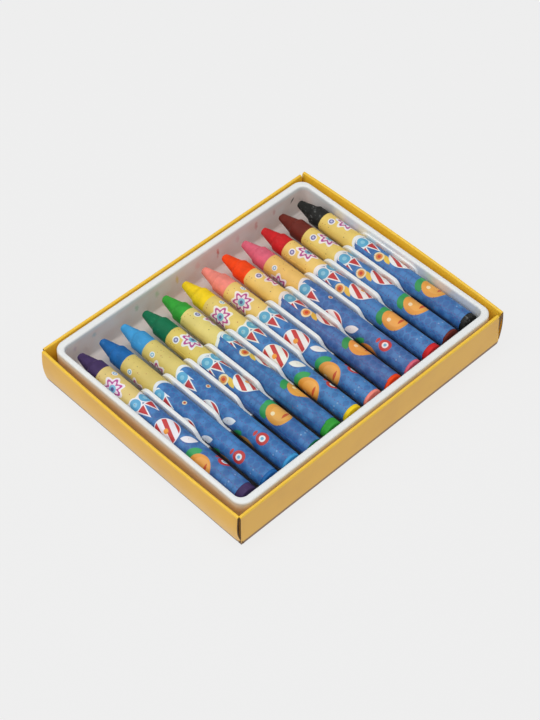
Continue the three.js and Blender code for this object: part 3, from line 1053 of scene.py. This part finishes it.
@dataclass(frozen=True)
class FormedInsert:
    """The thermoformed sheet: skirt, rim, well, and a raised cradle with a groove for each stick.
    Places along it are from the sticks' middle, drafts are in degrees, and within `rim_kept` of the
    top the wall stays plain."""

    sheet: float = 0.4
    rim_round: float = 0.8
    flare: float = 0.5
    well_corner: float = 3.0
    well_round: float = 1.2
    well_draft: float = 3.0
    groove_radius: float = 4.36
    fin_rise: float = 3.0
    front: float = 11.2
    nose: tuple[float, float] = (5.8, 8.0)
    shelf: float = -11.4
    ledge: float = -17.8
    back: float = -20.0
    tail_drop: float = 4.0
    cradle_draft: float = 8.0
    cradle_foot: float = 0.6
    groove_draft: float = 0.5
    fin_edge: float = 0.2
    fin_blend: float = 0.2
    fillet: float = 1.3
    rim_kept: float = 0.9
    near: float = 1e-6
    closest: float = 1e-4
    sharp_above: float = 55.0

    @property
    def lean(self) -> float:
        """How far the well wall leans in from rim to floor."""
        return (INSERT_TOP - WELL_FLOOR) * math.tan(math.radians(self.well_draft))

    @property
    def floor_half(self) -> tuple[float, float, float]:
        """Half sizes and corner radius of the flat floor."""
        inset = self.lean + self.well_round
        return WELL_HALF_X - inset, WELL_HALF_Y - inset, self.well_corner - inset

    def ridge(self, y: np.ndarray) -> np.ndarray:
        """Draws the cradle's top line, without its grooves.

        Args:
            y: places along the sticks.

        Returns:
            The line's height at each.
        """
        top = AXIS_Z + self.fin_rise
        foot = WELL_FLOOR - self.cradle_foot
        draft = math.tan(math.radians(self.cradle_draft))
        middle = (self.shelf + self.ledge) / 2
        t = np.linspace(0, 1, 25)[1:]
        tail_y = (1 - t) ** 3 * self.shelf + 3 * t * (1 - t) * middle + t**3 * self.ledge
        tail_z = top - self.tail_drop * (3 * t**2 * (1 - t) + t**3)
        bend = np.radians(np.linspace(0, 90, 13))
        nose_y = self.front + self.nose[0] * np.cos(bend)
        nose_z = top - self.nose[1] * (1 - np.sin(bend))
        foremost = nose_y[0] + (nose_z[0] - foot) * draft
        hindmost = self.back - (tail_z[-1] - foot) * draft
        ys = [foremost, *nose_y, self.shelf, *tail_y, self.back, hindmost]
        zs = [foot, *nose_z, top, *tail_z, tail_z[-1], foot]
        return np.interp(y, ys[::-1], zs[::-1])

    def cradle(self, x: np.ndarray, y: np.ndarray) -> np.ndarray:
        """Cuts the grooves into the cradle and rounds its fins.

        Args:
            x: places across the sticks.
            y: places along them.

        Returns:
            The cradle's height at each.
        """
        place = np.clip(np.round(x / PITCH + (STICK_COUNT - 1) / 2), 0, STICK_COUNT - 1)
        off = np.abs(x - (place - (STICK_COUNT - 1) / 2) * PITCH)
        r = self.groove_radius
        bowl = AXIS_Z - np.sqrt(np.maximum(r * r - off * off, 0))
        side = AXIS_Z + (off - r) / math.tan(math.radians(self.groove_draft))
        trough = np.where(off < r, bowl, side)
        into = np.clip((off - r - 0.02) / self.fin_edge, 0, 1)
        edge = self.fin_edge * (1 - np.sqrt(1 - (1 - into) ** 2))
        crest = self.ridge(y) - edge
        gap = np.maximum(self.fin_blend - np.abs(trough - crest), 0) / self.fin_blend
        return np.minimum(trough, crest) - gap * gap * self.fin_blend / 4

    def raised(self, x: np.ndarray, y: np.ndarray, z: np.ndarray) -> np.ndarray:
        """Lifts the plain well where the cradle stands over it, with a soft fillet.

        Args:
            x: places across the sticks.
            y: places along them.
            z: the plain well's heights.

        Returns:
            The formed well's heights.
        """
        band = self.cradle(x, y)
        gap = np.maximum(self.fillet - np.abs(z - band), 0) / self.fillet
        return np.maximum(z, band) + gap * gap * self.fillet / 4 * (z < INSERT_TOP - self.rim_kept)

    def lines_across(self) -> np.ndarray:
        """Places the mesh lines close together on each fin's sides and edges.

        Returns:
            X of each line, in order.
        """
        half = [0, 1.3, 2.4, 3.3, 3.95, 4.25, 4.36, 4.37, 4.38, 4.41, 4.46, 4.53, 4.62, 4.85]
        reach, _, corner = self.floor_half
        lines = {-reach + corner * s for s in (0, 0.25, 0.5, 0.75, 1)}
        for place in range(STICK_COUNT):
            middle = stick_x(place)
            lines.update(middle + side * d for d in half for side in (-1, 1))
            lines.add(middle + PITCH / 2)
        lines = {x for x in lines if -reach <= x < reach - corner - self.near}
        ordered = sorted(lines | {-x for x in lines if x <= -reach + corner + self.near})
        return np.array([x for i, x in enumerate(ordered) if i == 0 or x - ordered[i - 1] > self.closest])

    def lines_along(self) -> np.ndarray:
        """Places the mesh lines close together on the cradle's front, back and tail.

        Returns:
            Y of each line, in order.
        """
        _, reach, corner = self.floor_half
        ends = [reach - corner * s for s in (0, 0.25, 0.5, 0.75, 1)]
        bend = np.radians(np.linspace(0, 90, 19))
        front = (self.front + self.nose[0] * np.cos(bend)).tolist()
        tail = np.linspace(self.shelf, self.ledge, 21).tolist()
        foot = [18.6, 18.1, 17.8, 17.5, 17.3, 17.1]
        rear = [-18.2, -19.1, -20.0, -20.2, -20.4, -20.6, -20.8, -21.0, -21.2, -21.6, -22.4]
        plain = [8, 4, 0, -4, -8, -28, -34, -40, 22, 27, 32, 38, 42]
        lines = [-y for y in ends] + ends + front + tail + foot + rear + plain
        return np.array(sorted(set(round(y, 4) for y in lines)))

    def profile(self) -> list[tuple[float, float, bool]]:
        """Line from the floor's edge up the wall, over the rim and down the skirt.

        Returns:
            For each point how far out of the well's or the rim's outline it is, its height, and
            whether the well's outline is meant.
        """
        line = []
        r = self.well_round
        for a in np.radians([-77.7, -56.9, -34.8, -22.9, -16.6, 0]):
            line.append((-self.lean - r + r * math.cos(a), WELL_FLOOR + r + r * math.sin(a), True))
        top = INSERT_TOP - self.rim_round
        slope = self.lean / (top - WELL_FLOOR - r)
        for z in (8.0, 11.0, 13.2, 14.0, 14.4, 14.7, 15.0, 15.3, top):
            line.append(((z - top) * slope, z, True))
        bends = [math.radians(a) for a in (18, 36, 54, 72, 90)]
        over = [(self.rim_round * (1 - math.cos(a)), top + self.rim_round * math.sin(a)) for a in bends]
        line += [(off, z, True) for off, z in over]
        line += [(-off, z, False) for off, z in over[::-1]]
        skirt = ((0.0, top), (self.flare * 0.3, 10.6), (self.flare * 0.7, 5.0), (self.flare, BOARD))
        return line + [(off, z, False) for off, z in skirt]

    def floor_grid(self) -> np.ndarray:
        """The well's floor, its corners bent round and the cradle raised from it.

        Returns:
            Points by line across, line along and axis.
        """
        reach_x, reach_y, corner = self.floor_half
        gx, gy = np.meshgrid(self.lines_across(), self.lines_along(), indexing="ij")
        a = np.clip((np.abs(gx) - (reach_x - corner)) / corner, 0, 1)
        b = np.clip((np.abs(gy) - (reach_y - corner)) / corner, 0, 1)
        u = a * np.sqrt(1 - b * b / 2)
        v = b * np.sqrt(1 - a * a / 2)
        gx = np.where(a > 0, np.sign(gx) * (reach_x - corner + corner * u), gx)
        gy = np.where(b > 0, np.sign(gy) * (reach_y - corner + corner * v), gy)
        return np.stack([gx, gy, self.raised(gx, gy, np.full_like(gx, WELL_FLOOR))], axis=-1)

    def build(self) -> Piece:
        """Forms the whole sheet as one skin and gives it its thickness.

        Returns:
            The insert in its place.
        """
        grid = self.floor_grid()
        nx, ny, _ = grid.shape
        points = [grid.reshape(-1, 3)]
        squares = [i * ny + j for i in range(nx - 1) for j in range(ny - 1)]
        faces = [(k, k + ny, k + ny + 1, k + 1) for k in squares]
        loop = [(nx - 1, j) for j in range(ny)] + [(i, ny - 1) for i in range(nx - 2, -1, -1)]
        loop += [(0, j) for j in range(ny - 2, -1, -1)] + [(i, 0) for i in range(1, nx - 1)]
        lower = [i * ny + j for i, j in loop]
        border = points[0][lower, :2]
        reach_x, reach_y, corner = self.floor_half
        core = np.array([reach_x - corner, reach_y - corner])
        hub = np.clip(border, -core, core)
        out = (border - hub) / corner
        count = len(lower)
        total = nx * ny
        for off, z, in_well in self.profile():
            half = np.array([WELL_HALF_X, WELL_HALF_Y] if in_well else [RIM_HALF_X, RIM_HALF_Y]) + off
            bend = (self.well_corner if in_well else RIM_CORNER) + off
            flat = hub * (half - bend) / core + out * bend
            height = np.full(count, z)
            if in_well:
                height = self.raised(flat[:, 0], flat[:, 1], height)
            points.append(np.column_stack([flat, height]))
            upper = list(range(total, total + count))
            for i in range(count):
                k = (i + 1) % count
                faces.append((lower[i], upper[i], upper[k], lower[k]))
            lower = upper
            total += count
        plastic = FormedPolystyrene().material()
        piece = mesh_piece("formed_insert", np.concatenate(points), faces, plastic)
        thick = piece.modifiers.new("sheet", "SOLIDIFY")
        thick.thickness = self.sheet * MM
        thick.offset = -1
        settle(piece, self.sharp_above)
        return piece


def rounded(from_end: float, wide: float, tall: float) -> float:
    """How far a rounded corner cuts in, at a distance from the end.

    Args:
        from_end: the distance.
        wide: how far from the end the rounding begins.
        tall: how far it cuts in at the end itself.

    Returns:
        The cut, 0 beyond the rounding.
    """
    within = max(0.0, 1 - from_end / wide)
    return tall * (1 - math.sqrt(1 - within**2))


def box_corners(low: tuple[float, float, float], high: tuple[float, float, float]) -> np.ndarray:
    """The eight corners of a box, X turning fastest and Z slowest."""
    xs, ys, zs = zip(low, high)
    return np.array([(x, y, z) for z in zs for y in ys for x in xs], float)


class Face(Enum):
    """The surfaces of the card tray, by material number."""

    OUTSIDE = 0
    INSIDE = 1
    CUT = 2
    BACK = 3


CardPart = tuple[np.ndarray, list[tuple[int, ...]], list[Face]]


@dataclass(frozen=True)
class WallSet:
    """How one hand-folded wall stands: the lean of its top outwards, how much more it leans at its
    last end than in the middle, how far its middle bows out, how far its foot stands in, how much
    shorter than the plain wall its top is at its first and its last end, how wide and high the
    foot's corners are cut, and by height how much longer its last end is and how far it curls in."""

    lean: float
    twist: float = 0.0
    bow: float = 0.0
    inset: float = 0.0
    first: float = 0.0
    last: float = 0.0
    first_cut: tuple[float, float] = (1.6, 1.6)
    last_cut: tuple[float, float] = (1.6, 1.6)
    heights: tuple[float, ...] = (0.0,)
    longer: tuple[float, ...] = (0.0,)
    curled: tuple[float, ...] = (0.0,)

    def at(self, heights: np.ndarray, values: tuple[float, ...]) -> np.ndarray:
        """Reads one of the lists that go by height.

        Args:
            heights: where it is read.
            values: the list, or a single value for all heights.

        Returns:
            Its value at each height.
        """
        return np.interp(heights, self.heights, np.resize(values, len(self.heights)))


@dataclass(frozen=True)
class CornerTab:
    """A glued tab that shows in a corner: the corner's signs in X and Y, how far in from the tray's
    side its top and its foot end, how high its foot is, how far below the fold its top is, how far
    in from the end it lies, and whether its raw side shows, coloured as dark cut board, which also
    paints the shade of the hollow behind a wall's end."""

    side: int
    end: int
    top_in: float
    foot_in: float
    foot: float
    below_fold: float
    depth: tuple[float, float] = (-0.01, 0.45)
    raw_and_shaded: bool = False


@dataclass(frozen=True)
class FoldedTray:
    """The card tray: a floor and four walls, each wall rolled over its top to two layers of board.
    The walls go by the degrees that each is turned from the one at +X."""

    roll_gap: float = 0.3
    gap_side: float = 1.45
    gap_end: float = 0.95
    above_insert: float = -0.4
    belly: float = 0.8
    roll_corner: float = 0.35
    slit: float = 0.4
    lifted: float = 1.9
    tab_lap: float = 0.4
    wobble: tuple[float, float] = (0.05, 9.0)
    stations: int = 25
    rise_steps: int = 12
    roll_steps: int = 15
    curl_reach: float = 2.5
    sharp_above: float = 40.0
    walls: dict[int, WallSet] = field(
        default_factory=lambda: {
            0: WallSet(1.5, 0.27, 1.08, inset=0.65, first=-0.3, last=-0.85),
            90: WallSet(0.2, bow=-0.2, first=0.9),
            180: WallSet(
                0.9, 0.12, 0.93, last=-0.25, last_cut=(0.5, 0.4),
                heights=(0, 1.5, 3, 6), longer=(0.75, 0.5, 0.25, 0), curled=(0.9, 0.6, 0.3, 0),
            ),
            270: WallSet(
                0.3, -0.1, inset=0.22, first=-0.75, last=1.7, first_cut=(0.4, 0.4), last_cut=(0.6, 2.4),
                heights=(0, 5, 10, 16), longer=(1.4, 0.85, 0.2, 0),
            ),
        }
    )
    tabs: tuple[CornerTab, ...] = (
        CornerTab(-1, -1, 0.45, 0.45, 1.9, 0.9),
        CornerTab(-1, 1, 0.3, 0.3, 1.9, 1.0),
        CornerTab(1, 1, 0.75, 0.75, 1.9, 1.3),
        # This tab's dark cut-board face is raw board and also painted shade of the hollow behind the +X
        # wall's end.
        CornerTab(1, -1, 0.4, 2.3, 6.5, 0.3, depth=(0.2, 0.6), raw_and_shaded=True),
    )

    @property
    def wall(self) -> float:
        """Thickness of a folded wall."""
        return 2 * BOARD + self.roll_gap

    @property
    def height(self) -> float:
        """Height of the tray."""
        return INSERT_TOP + self.above_insert

    @property
    def inner(self) -> tuple[float, float]:
        """Half sizes between the walls, in X and Y."""
        return RIM_HALF_X + self.gap_side, RIM_HALF_Y + self.gap_end

    @property
    def half(self) -> tuple[float, float]:
        """Half sizes over the walls, in X and Y."""
        return self.inner[0] + self.wall, self.inner[1] + self.wall

    @property
    def reach(self) -> float:
        """How far the end walls reach in X."""
        return self.inner[0] + BOARD + self.roll_gap / 2

    @property
    def short(self) -> float:
        """X at which the shorter end wall stops."""
        return self.reach - self.walls[270].last

    def section(self, bottom: float, dip: float, belly: float) -> np.ndarray:
        """Outline of a folded wall, cut across.

        Args:
            bottom: height at which the outer board begins.
            dip: how far the roll at the top has come down.
            belly: how far the outer board swells out.

        Returns:
            Rows of distance outwards from the inner face and height.
        """
        fold = self.height - self.wall / 2 - dip
        rise = np.linspace(bottom, fold, self.rise_steps)
        swell = belly * np.sin(np.pi * rise / fold)
        roll = np.radians(np.linspace(0, 180, self.roll_steps))
        half = self.wall / 2
        outer = np.column_stack([self.wall + swell, rise])[:-1]
        over = np.column_stack([half + half * np.cos(roll), fold + half * np.sin(roll)])
        gap = self.roll_gap / 2
        back = np.radians(np.linspace(180, 0, 9))
        under = np.column_stack([half + gap * np.cos(back), fold + gap * np.sin(back)])
        inner = np.array([[0, BOARD / 2], [BOARD, BOARD / 2]])
        down = np.column_stack([self.wall - BOARD + swell, rise])[:-1][::-1]
        return np.concatenate([outer, over, inner, under, down])

    def places(self, low: float, high: float, stands: WallSet) -> list[float]:
        """Where a wall's outlines stand along it, close together at its ends.

        Args:
            low: its first end.
            high: its last end.
            stands: how its ends are cut.

        Returns:
            The places in order.
        """
        shares = (0, 0.02, 0.06, 0.12, 0.2, 0.35, 0.5, 0.63, 0.8, 1.0)
        near = [low + stands.first_cut[0] * t for t in shares]
        near += [high - stands.last_cut[0] * t for t in shares]
        near += [high - self.curl_reach * t for t in (0.2, 0.4, 0.6, 0.8, 1.0)]
        return sorted(set(np.linspace(low, high, self.stations).tolist() + near))

    def folded(self, length: float, stands: WallSet, belly: float) -> CardPart:
        """One folded wall along Y at the origin.

        Args:
            length: how long it is.
            stands: how it stands and how its ends are cut.
            belly: how far its outer board swells.

        Returns:
            Points, faces, and for each face its surface.
        """
        low, high = stands.first - length / 2, length / 2 - stands.last
        rings = []
        for along in self.places(low, high, stands):
            s = 2 * along / length
            wide, tall = stands.first_cut if s < 0 else stands.last_cut
            from_end = min(along - low, high - along)
            dip = rounded(from_end, self.roll_corner, self.roll_corner)
            line = self.section(rounded(from_end, wide, tall), dip, belly)
            wobble = self.wobble[0] * noise.noise(Vector((along / self.wobble[1], length, 0)))
            top_out = stands.lean + stands.twist * s + stands.bow * (1 - s * s) + wobble
            near_last = max(0.0, 1 - (high - along) / self.curl_reach) ** 2
            curl = near_last * stands.at(line[:, 1], stands.curled)
            more = near_last * stands.at(line[:, 1], stands.longer) * (line[:, 0] > self.wall / 2)
            out = top_out * line[:, 1] / self.height - stands.inset - curl
            rings.append(np.column_stack([line[:, 0] + out, along + more, line[:, 1]]))
        count = len(rings[0])
        inner_face = self.rise_steps + self.roll_steps - 2
        skin = ring_faces(len(rings), count)
        slots = [Face.INSIDE if i % count == inner_face else Face.OUTSIDE for i in range(len(skin))]
        return np.concatenate(rings), skin + ring_ends(len(rings), count), slots + [Face.CUT] * 2

    def stood(self, turn: int, stands: WallSet) -> CardPart:
        """One wall in its place.

        Args:
            turn: degrees that it is turned from the wall at +X.
            stands: how it stands.

        Returns:
            Points, faces and surfaces.
        """
        if turn % 180 == 0:
            length, belly, off = 2 * (self.half[1] - BOARD - self.slit), self.belly, self.inner[0]
        else:
            length, belly, off = 2 * self.reach, 0.0, self.inner[1]
        points, faces, slots = self.folded(length, stands, belly)
        points[:, 0] += off
        c, s = math.cos(math.radians(turn)), math.sin(math.radians(turn))
        x, y = points[:, 0] * c - points[:, 1] * s, points[:, 0] * s + points[:, 1] * c
        return np.column_stack([x, y, points[:, 2]]), faces, slots

    def plate(self) -> CardPart:
        """The floor, its corners cut off under the folds; the board's back lies up.

        Returns:
            Points, faces and surfaces.
        """
        lifted = self.lifted
        west, east, depth = -self.half[0] + BOARD / 2, self.short, self.half[1] - BOARD / 2
        rim = [(west, -depth + lifted), (west + lifted, -depth)]
        rim += [(east - lifted, -depth), (east, -depth + lifted)]
        rim += [(x, -y) for x, y in rim[::-1]]
        points = np.array([(x, y, z) for z in (0, BOARD) for x, y in rim])
        count = len(rim)
        ends = [tuple(range(count - 1, -1, -1)), tuple(range(count, 2 * count))]
        return points, ends + ring_faces(2, count), [Face.OUTSIDE, Face.BACK] + [Face.OUTSIDE] * count

    def glued(self, tab: CornerTab) -> CardPart:
        """One tab in its corner, leaning with the end wall it is glued to.

        Args:
            tab: the tab.

        Returns:
            Points, faces and surfaces.
        """
        half_x, half_y = self.half
        top = self.height - self.wall / 2 - tab.below_fold
        low = (self.short - self.tab_lap, half_y - tab.depth[1], tab.foot)
        corners = box_corners(low, (half_x, half_y - tab.depth[0], top))
        stands = self.walls[180 - 90 * tab.end]
        tilt = stands.lean + abs(stands.twist)
        for corner in corners:
            if corner[0] == half_x:
                corner[0] -= tab.top_in if corner[2] > tab.foot else tab.foot_in
            corner[1] += tilt * corner[2] / self.height - stands.inset
        corners = corners * (tab.side, tab.end, 1)
        box = [(0, 2, 3, 1), (4, 5, 7, 6), (0, 1, 5, 4), (2, 6, 7, 3), (0, 4, 6, 2), (1, 3, 7, 5)]
        if np.linalg.det(corners[[1, 2, 4]] - corners[0]) < 0:
            box = [f[::-1] for f in box]
        return corners, box, [Face.CUT if tab.raw_and_shaded else Face.OUTSIDE] * len(box)

    def build(self) -> Piece:
        """Folds the tray: the four walls, the floor and the corner tabs.

        Returns:
            The tray in its place.
        """
        parts = [self.stood(turn, stands) for turn, stands in self.walls.items()]
        parts += [self.plate(), *(self.glued(tab) for tab in self.tabs)]
        points, faces, slots = [], [], []
        total = 0
        for part, skin, kinds in parts:
            points.append(part)
            faces += [tuple(i + total for i in f) for f in skin]
            slots += kinds
            total += len(part)
        outside = VarnishedCard(name="varnished_yellow_boxboard_outside", ink="#EEB423", worn="#DFA31F")
        # The inside's ink is painted lighter than the outside's, standing in for the light on the inner
        # walls.
        inside = VarnishedCard(name="varnished_yellow_boxboard_inside_painted_lighter", ink="#FFD038", worn="#F6C32E")
        piece = mesh_piece("folded_card_tray", np.concatenate(points), faces, outside.material())
        for finish in (inside, CutBoard(), BoardBack()):
            piece.data.materials.append(finish.material())
        for polygon, kind in zip(piece.data.polygons, slots):
            polygon.material_index = kind.value
        settle(piece, self.sharp_above)
        return piece


@dataclass(frozen=True)
class Lamp:
    """One square softbox turned to the tray: its place and size in metres, its power in watts."""

    name: str
    place: tuple[float, float, float]
    size: float
    power: float


@dataclass(frozen=True)
class Studio:
    """Pale floor, soft light and the camera at the photograph's angle. Angles are in degrees, and
    the table's glow falls off between the two distances of `lit`."""

    lens: float = 92.51
    clip: tuple[float, float] = (0.01, 20.0)
    azimuth: float = -43.07
    elevation: float = 48.986
    roll: float = -1.0241
    aim: tuple[float, float, float] = (-1.4148, 1.0567, 0.0)
    distance: float = 691.58
    film: str = "#EFEFEF"
    glow: float = 0.92
    glow_far: float = 0.45
    lit: tuple[float, float] = (250.0, 420.0)
    table: float = 4000.0
    room: float = 0.28
    lamps: tuple[Lamp, ...] = (
        Lamp("overhead", (0.0, 0.0, 1.2), 0.9, 6.9),
        Lamp("left_back", (-0.75, 0.45, 0.9), 0.7, 3.2),
        Lamp("left_front", (-0.8, -0.6, 0.75), 0.7, 2.1),
        Lamp("right_front", (0.8, -0.6, 0.75), 0.7, 1.0),
    )

    def camera(self) -> None:
        """Sets the camera where the photographer's stood."""
        a, e, r = (math.radians(v) for v in (self.azimuth, self.elevation, self.roll))
        back = Vector((math.sin(a) * math.cos(e), -math.cos(a) * math.cos(e), math.sin(e)))
        right = (-back).cross(Vector((0, 0, 1))).normalized()
        up = right.cross(-back)
        side = right * math.cos(r) + up * math.sin(r)
        over = up * math.cos(r) - right * math.sin(r)
        lens = bpy.data.cameras.new("camera")
        lens.lens = self.lens
        lens.clip_start, lens.clip_end = self.clip
        camera = bpy.data.objects.new("camera", lens)
        place = (Vector(self.aim) + back * self.distance) * MM
        camera.matrix_world = Matrix.Translation(place) @ Matrix((side, over, back)).transposed().to_4x4()
        bpy.context.scene.collection.objects.link(camera)
        bpy.context.scene.camera = camera

    def floor(self) -> None:
        """Lays a wide sheet of matt white film, lit from within a little like a product table."""
        material, tree = new_material("lit_white_table_film")
        matt = put(tree, "ShaderNodeBsdfDiffuse", {0: linear(self.film)})
        at = put(tree, "ShaderNodeTexCoord").outputs["Object"]
        away = put(tree, "ShaderNodeVectorMath", {0: at}, operation="LENGTH")
        near, far = self.lit
        lit = put(tree, "ShaderNodeMapRange", {0: away, 1: near * MM, 2: far * MM, 3: 1.0, 4: self.glow_far})
        glow = put(tree, "ShaderNodeEmission", {0: linear(self.film), 1: lit})
        both = put(tree, "ShaderNodeMixShader", {0: self.glow, 1: matt, 2: glow})
        put(tree, "ShaderNodeOutputMaterial", {"Surface": both})
        r = self.table
        corners = np.array([(-r, -r, 0), (r, -r, 0), (r, r, 0), (-r, r, 0)])
        mesh_piece("table", corners, [(0, 1, 2, 3)], material)

    def light(self) -> None:
        """Hangs the lamps, all turned to the tray, in a dim white room."""
        world = bpy.data.worlds.new("room")
        bpy.context.scene.world = world
        world.use_nodes = True
        world.node_tree.nodes.clear()
        sky = put(world.node_tree, "ShaderNodeBackground", {0: (1, 1, 1, 1), 1: self.room})
        put(world.node_tree, "ShaderNodeOutputWorld", {0: sky})
        for lamp in self.lamps:
            light = bpy.data.lights.new(lamp.name, "AREA")
            light.size = lamp.size
            light.energy = lamp.power
            stand = bpy.data.objects.new(lamp.name, light)
            stand.location = lamp.place
            stand.rotation_euler = (-Vector(lamp.place)).to_track_quat("-Z", "Y").to_euler()
            bpy.context.scene.collection.objects.link(stand)


def row_of_pastels() -> list[Pastel]:
    """The twelve pastels as they lie in the photographed tray.

    Returns:
        One Pastel for each Colour, from -X to +X.
    """
    rows = [
        (Colour.PURPLE, 0.9, 3.0, 245, "#46345F", "#6A5580", 0.25, "#E6D180", "#4278AD", "#F4EFF4"),
        (Colour.BLUE, 0.6, 1.3, 330, "#2068AC", "#5C9BD2", 0.3, "#E5CB72", "#3F7BB6", "#EDF1F4"),
        (Colour.LIGHT_BLUE, 0.6, 1.2, 315, "#439FD8", "#7CC0E8", 0.25, "#E5CD75", "#3F7CB8", "#EEF3F4"),
        (Colour.DARK_GREEN, 0.1, 0.2, 165, "#14724C", "#3F8F6C", 0.3, "#EACF6B", "#3B71B1", "#EEF3EE"),
        (Colour.GREEN, 0.7, 3.0, 110, "#39A63A", "#5FBE5C", 0.15, "#EED882", "#3A74B6", "#EFF4EA"),
        (Colour.YELLOW, 0.9, 1.5, 245, "#F8D41F", "#FBE36A", 0.15, "#EAD278", "#4687CE", "#F6F3E6"),
        (Colour.SALMON, 1.1, 1.1, 240, "#F98F80", "#FBB0A2", 0.2, "#ECD078", "#4483C5", "#F8F0EA"),
        (Colour.ORANGE, 0.8, 1.2, 127, "#FB4A14", "#FF6A33", 0.15, "#F2D97C", "#4771B8", "#F7E6DC"),
        (Colour.PINK, 0.8, 1.1, 310, "#E2667C", "#EE8A9A", 0.25, "#EECB70", "#497CBE", "#F7E8E4"),
        (Colour.RED, 0.6, 2.0, 165, "#CE2427", "#E04A48", 0.25, "#EDD075", "#4684C7", "#F8EDE8"),
        (Colour.BROWN, 1.4, 0.8, 153, "#6E2A20", "#86402F", 0.25, "#EDD471", "#4680C0", "#F6F0EC"),
        (Colour.BLACK, 1.4, 1.9, 142, "#262624", "#8C8E8C", 0.6, "#F0D16E", "#3F75B3", "#F4F3F0"),
    ]
    made = []
    for colour, slid, bare, seam, pigment, rubbed, share, yellow, blue, soak in rows:
        name = colour.value
        wax = PastelWax(name=f"cast_oil_pastel_{name}", pigment=pigment, rubbed=rubbed, rubbed_share=share)
        paper = LabelPaper(name=f"coated_label_paper_{name}", yellow=yellow, blue=blue, soak=soak)
        made.append(Pastel(colour, slid, bare, seam, wax, paper))
    return made


def hold(piece: Piece, body: str, node: str) -> None:
    """Puts a piece on its body, in place of a CAD node, and reports it.

    Args:
        piece: the finished piece.
        body: the CAD body that carries it.
        node: the CAD node it stands for.
    """
    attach(piece, body)
    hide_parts(node)
    log.info("%s rides on %s: %d faces", piece.name, body, len(piece.data.polygons))


def main() -> None:
    """Builds every piece in order, then the studio."""
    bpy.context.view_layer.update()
    bpy.context.scene.view_settings.view_transform = "Standard"
    hold(FoldedTray().build(), "card_tray", "card_tray")
    hold(FormedInsert().build(), "insert", "insert_tray")
    roll = LabelRoll()
    for pastel in row_of_pastels():
        name = pastel.colour.value
        hold(pastel.stick(), f"{name}_pastel", f"{name}_stick")
        hold(roll.rolled(pastel), f"{name}_pastel", f"{name}_wrapper")
    studio = Studio()
    studio.camera()
    studio.floor()
    studio.light()


if __name__ == "__main__":
    logging.basicConfig(level=logging.INFO, format="%(message)s")
    main()
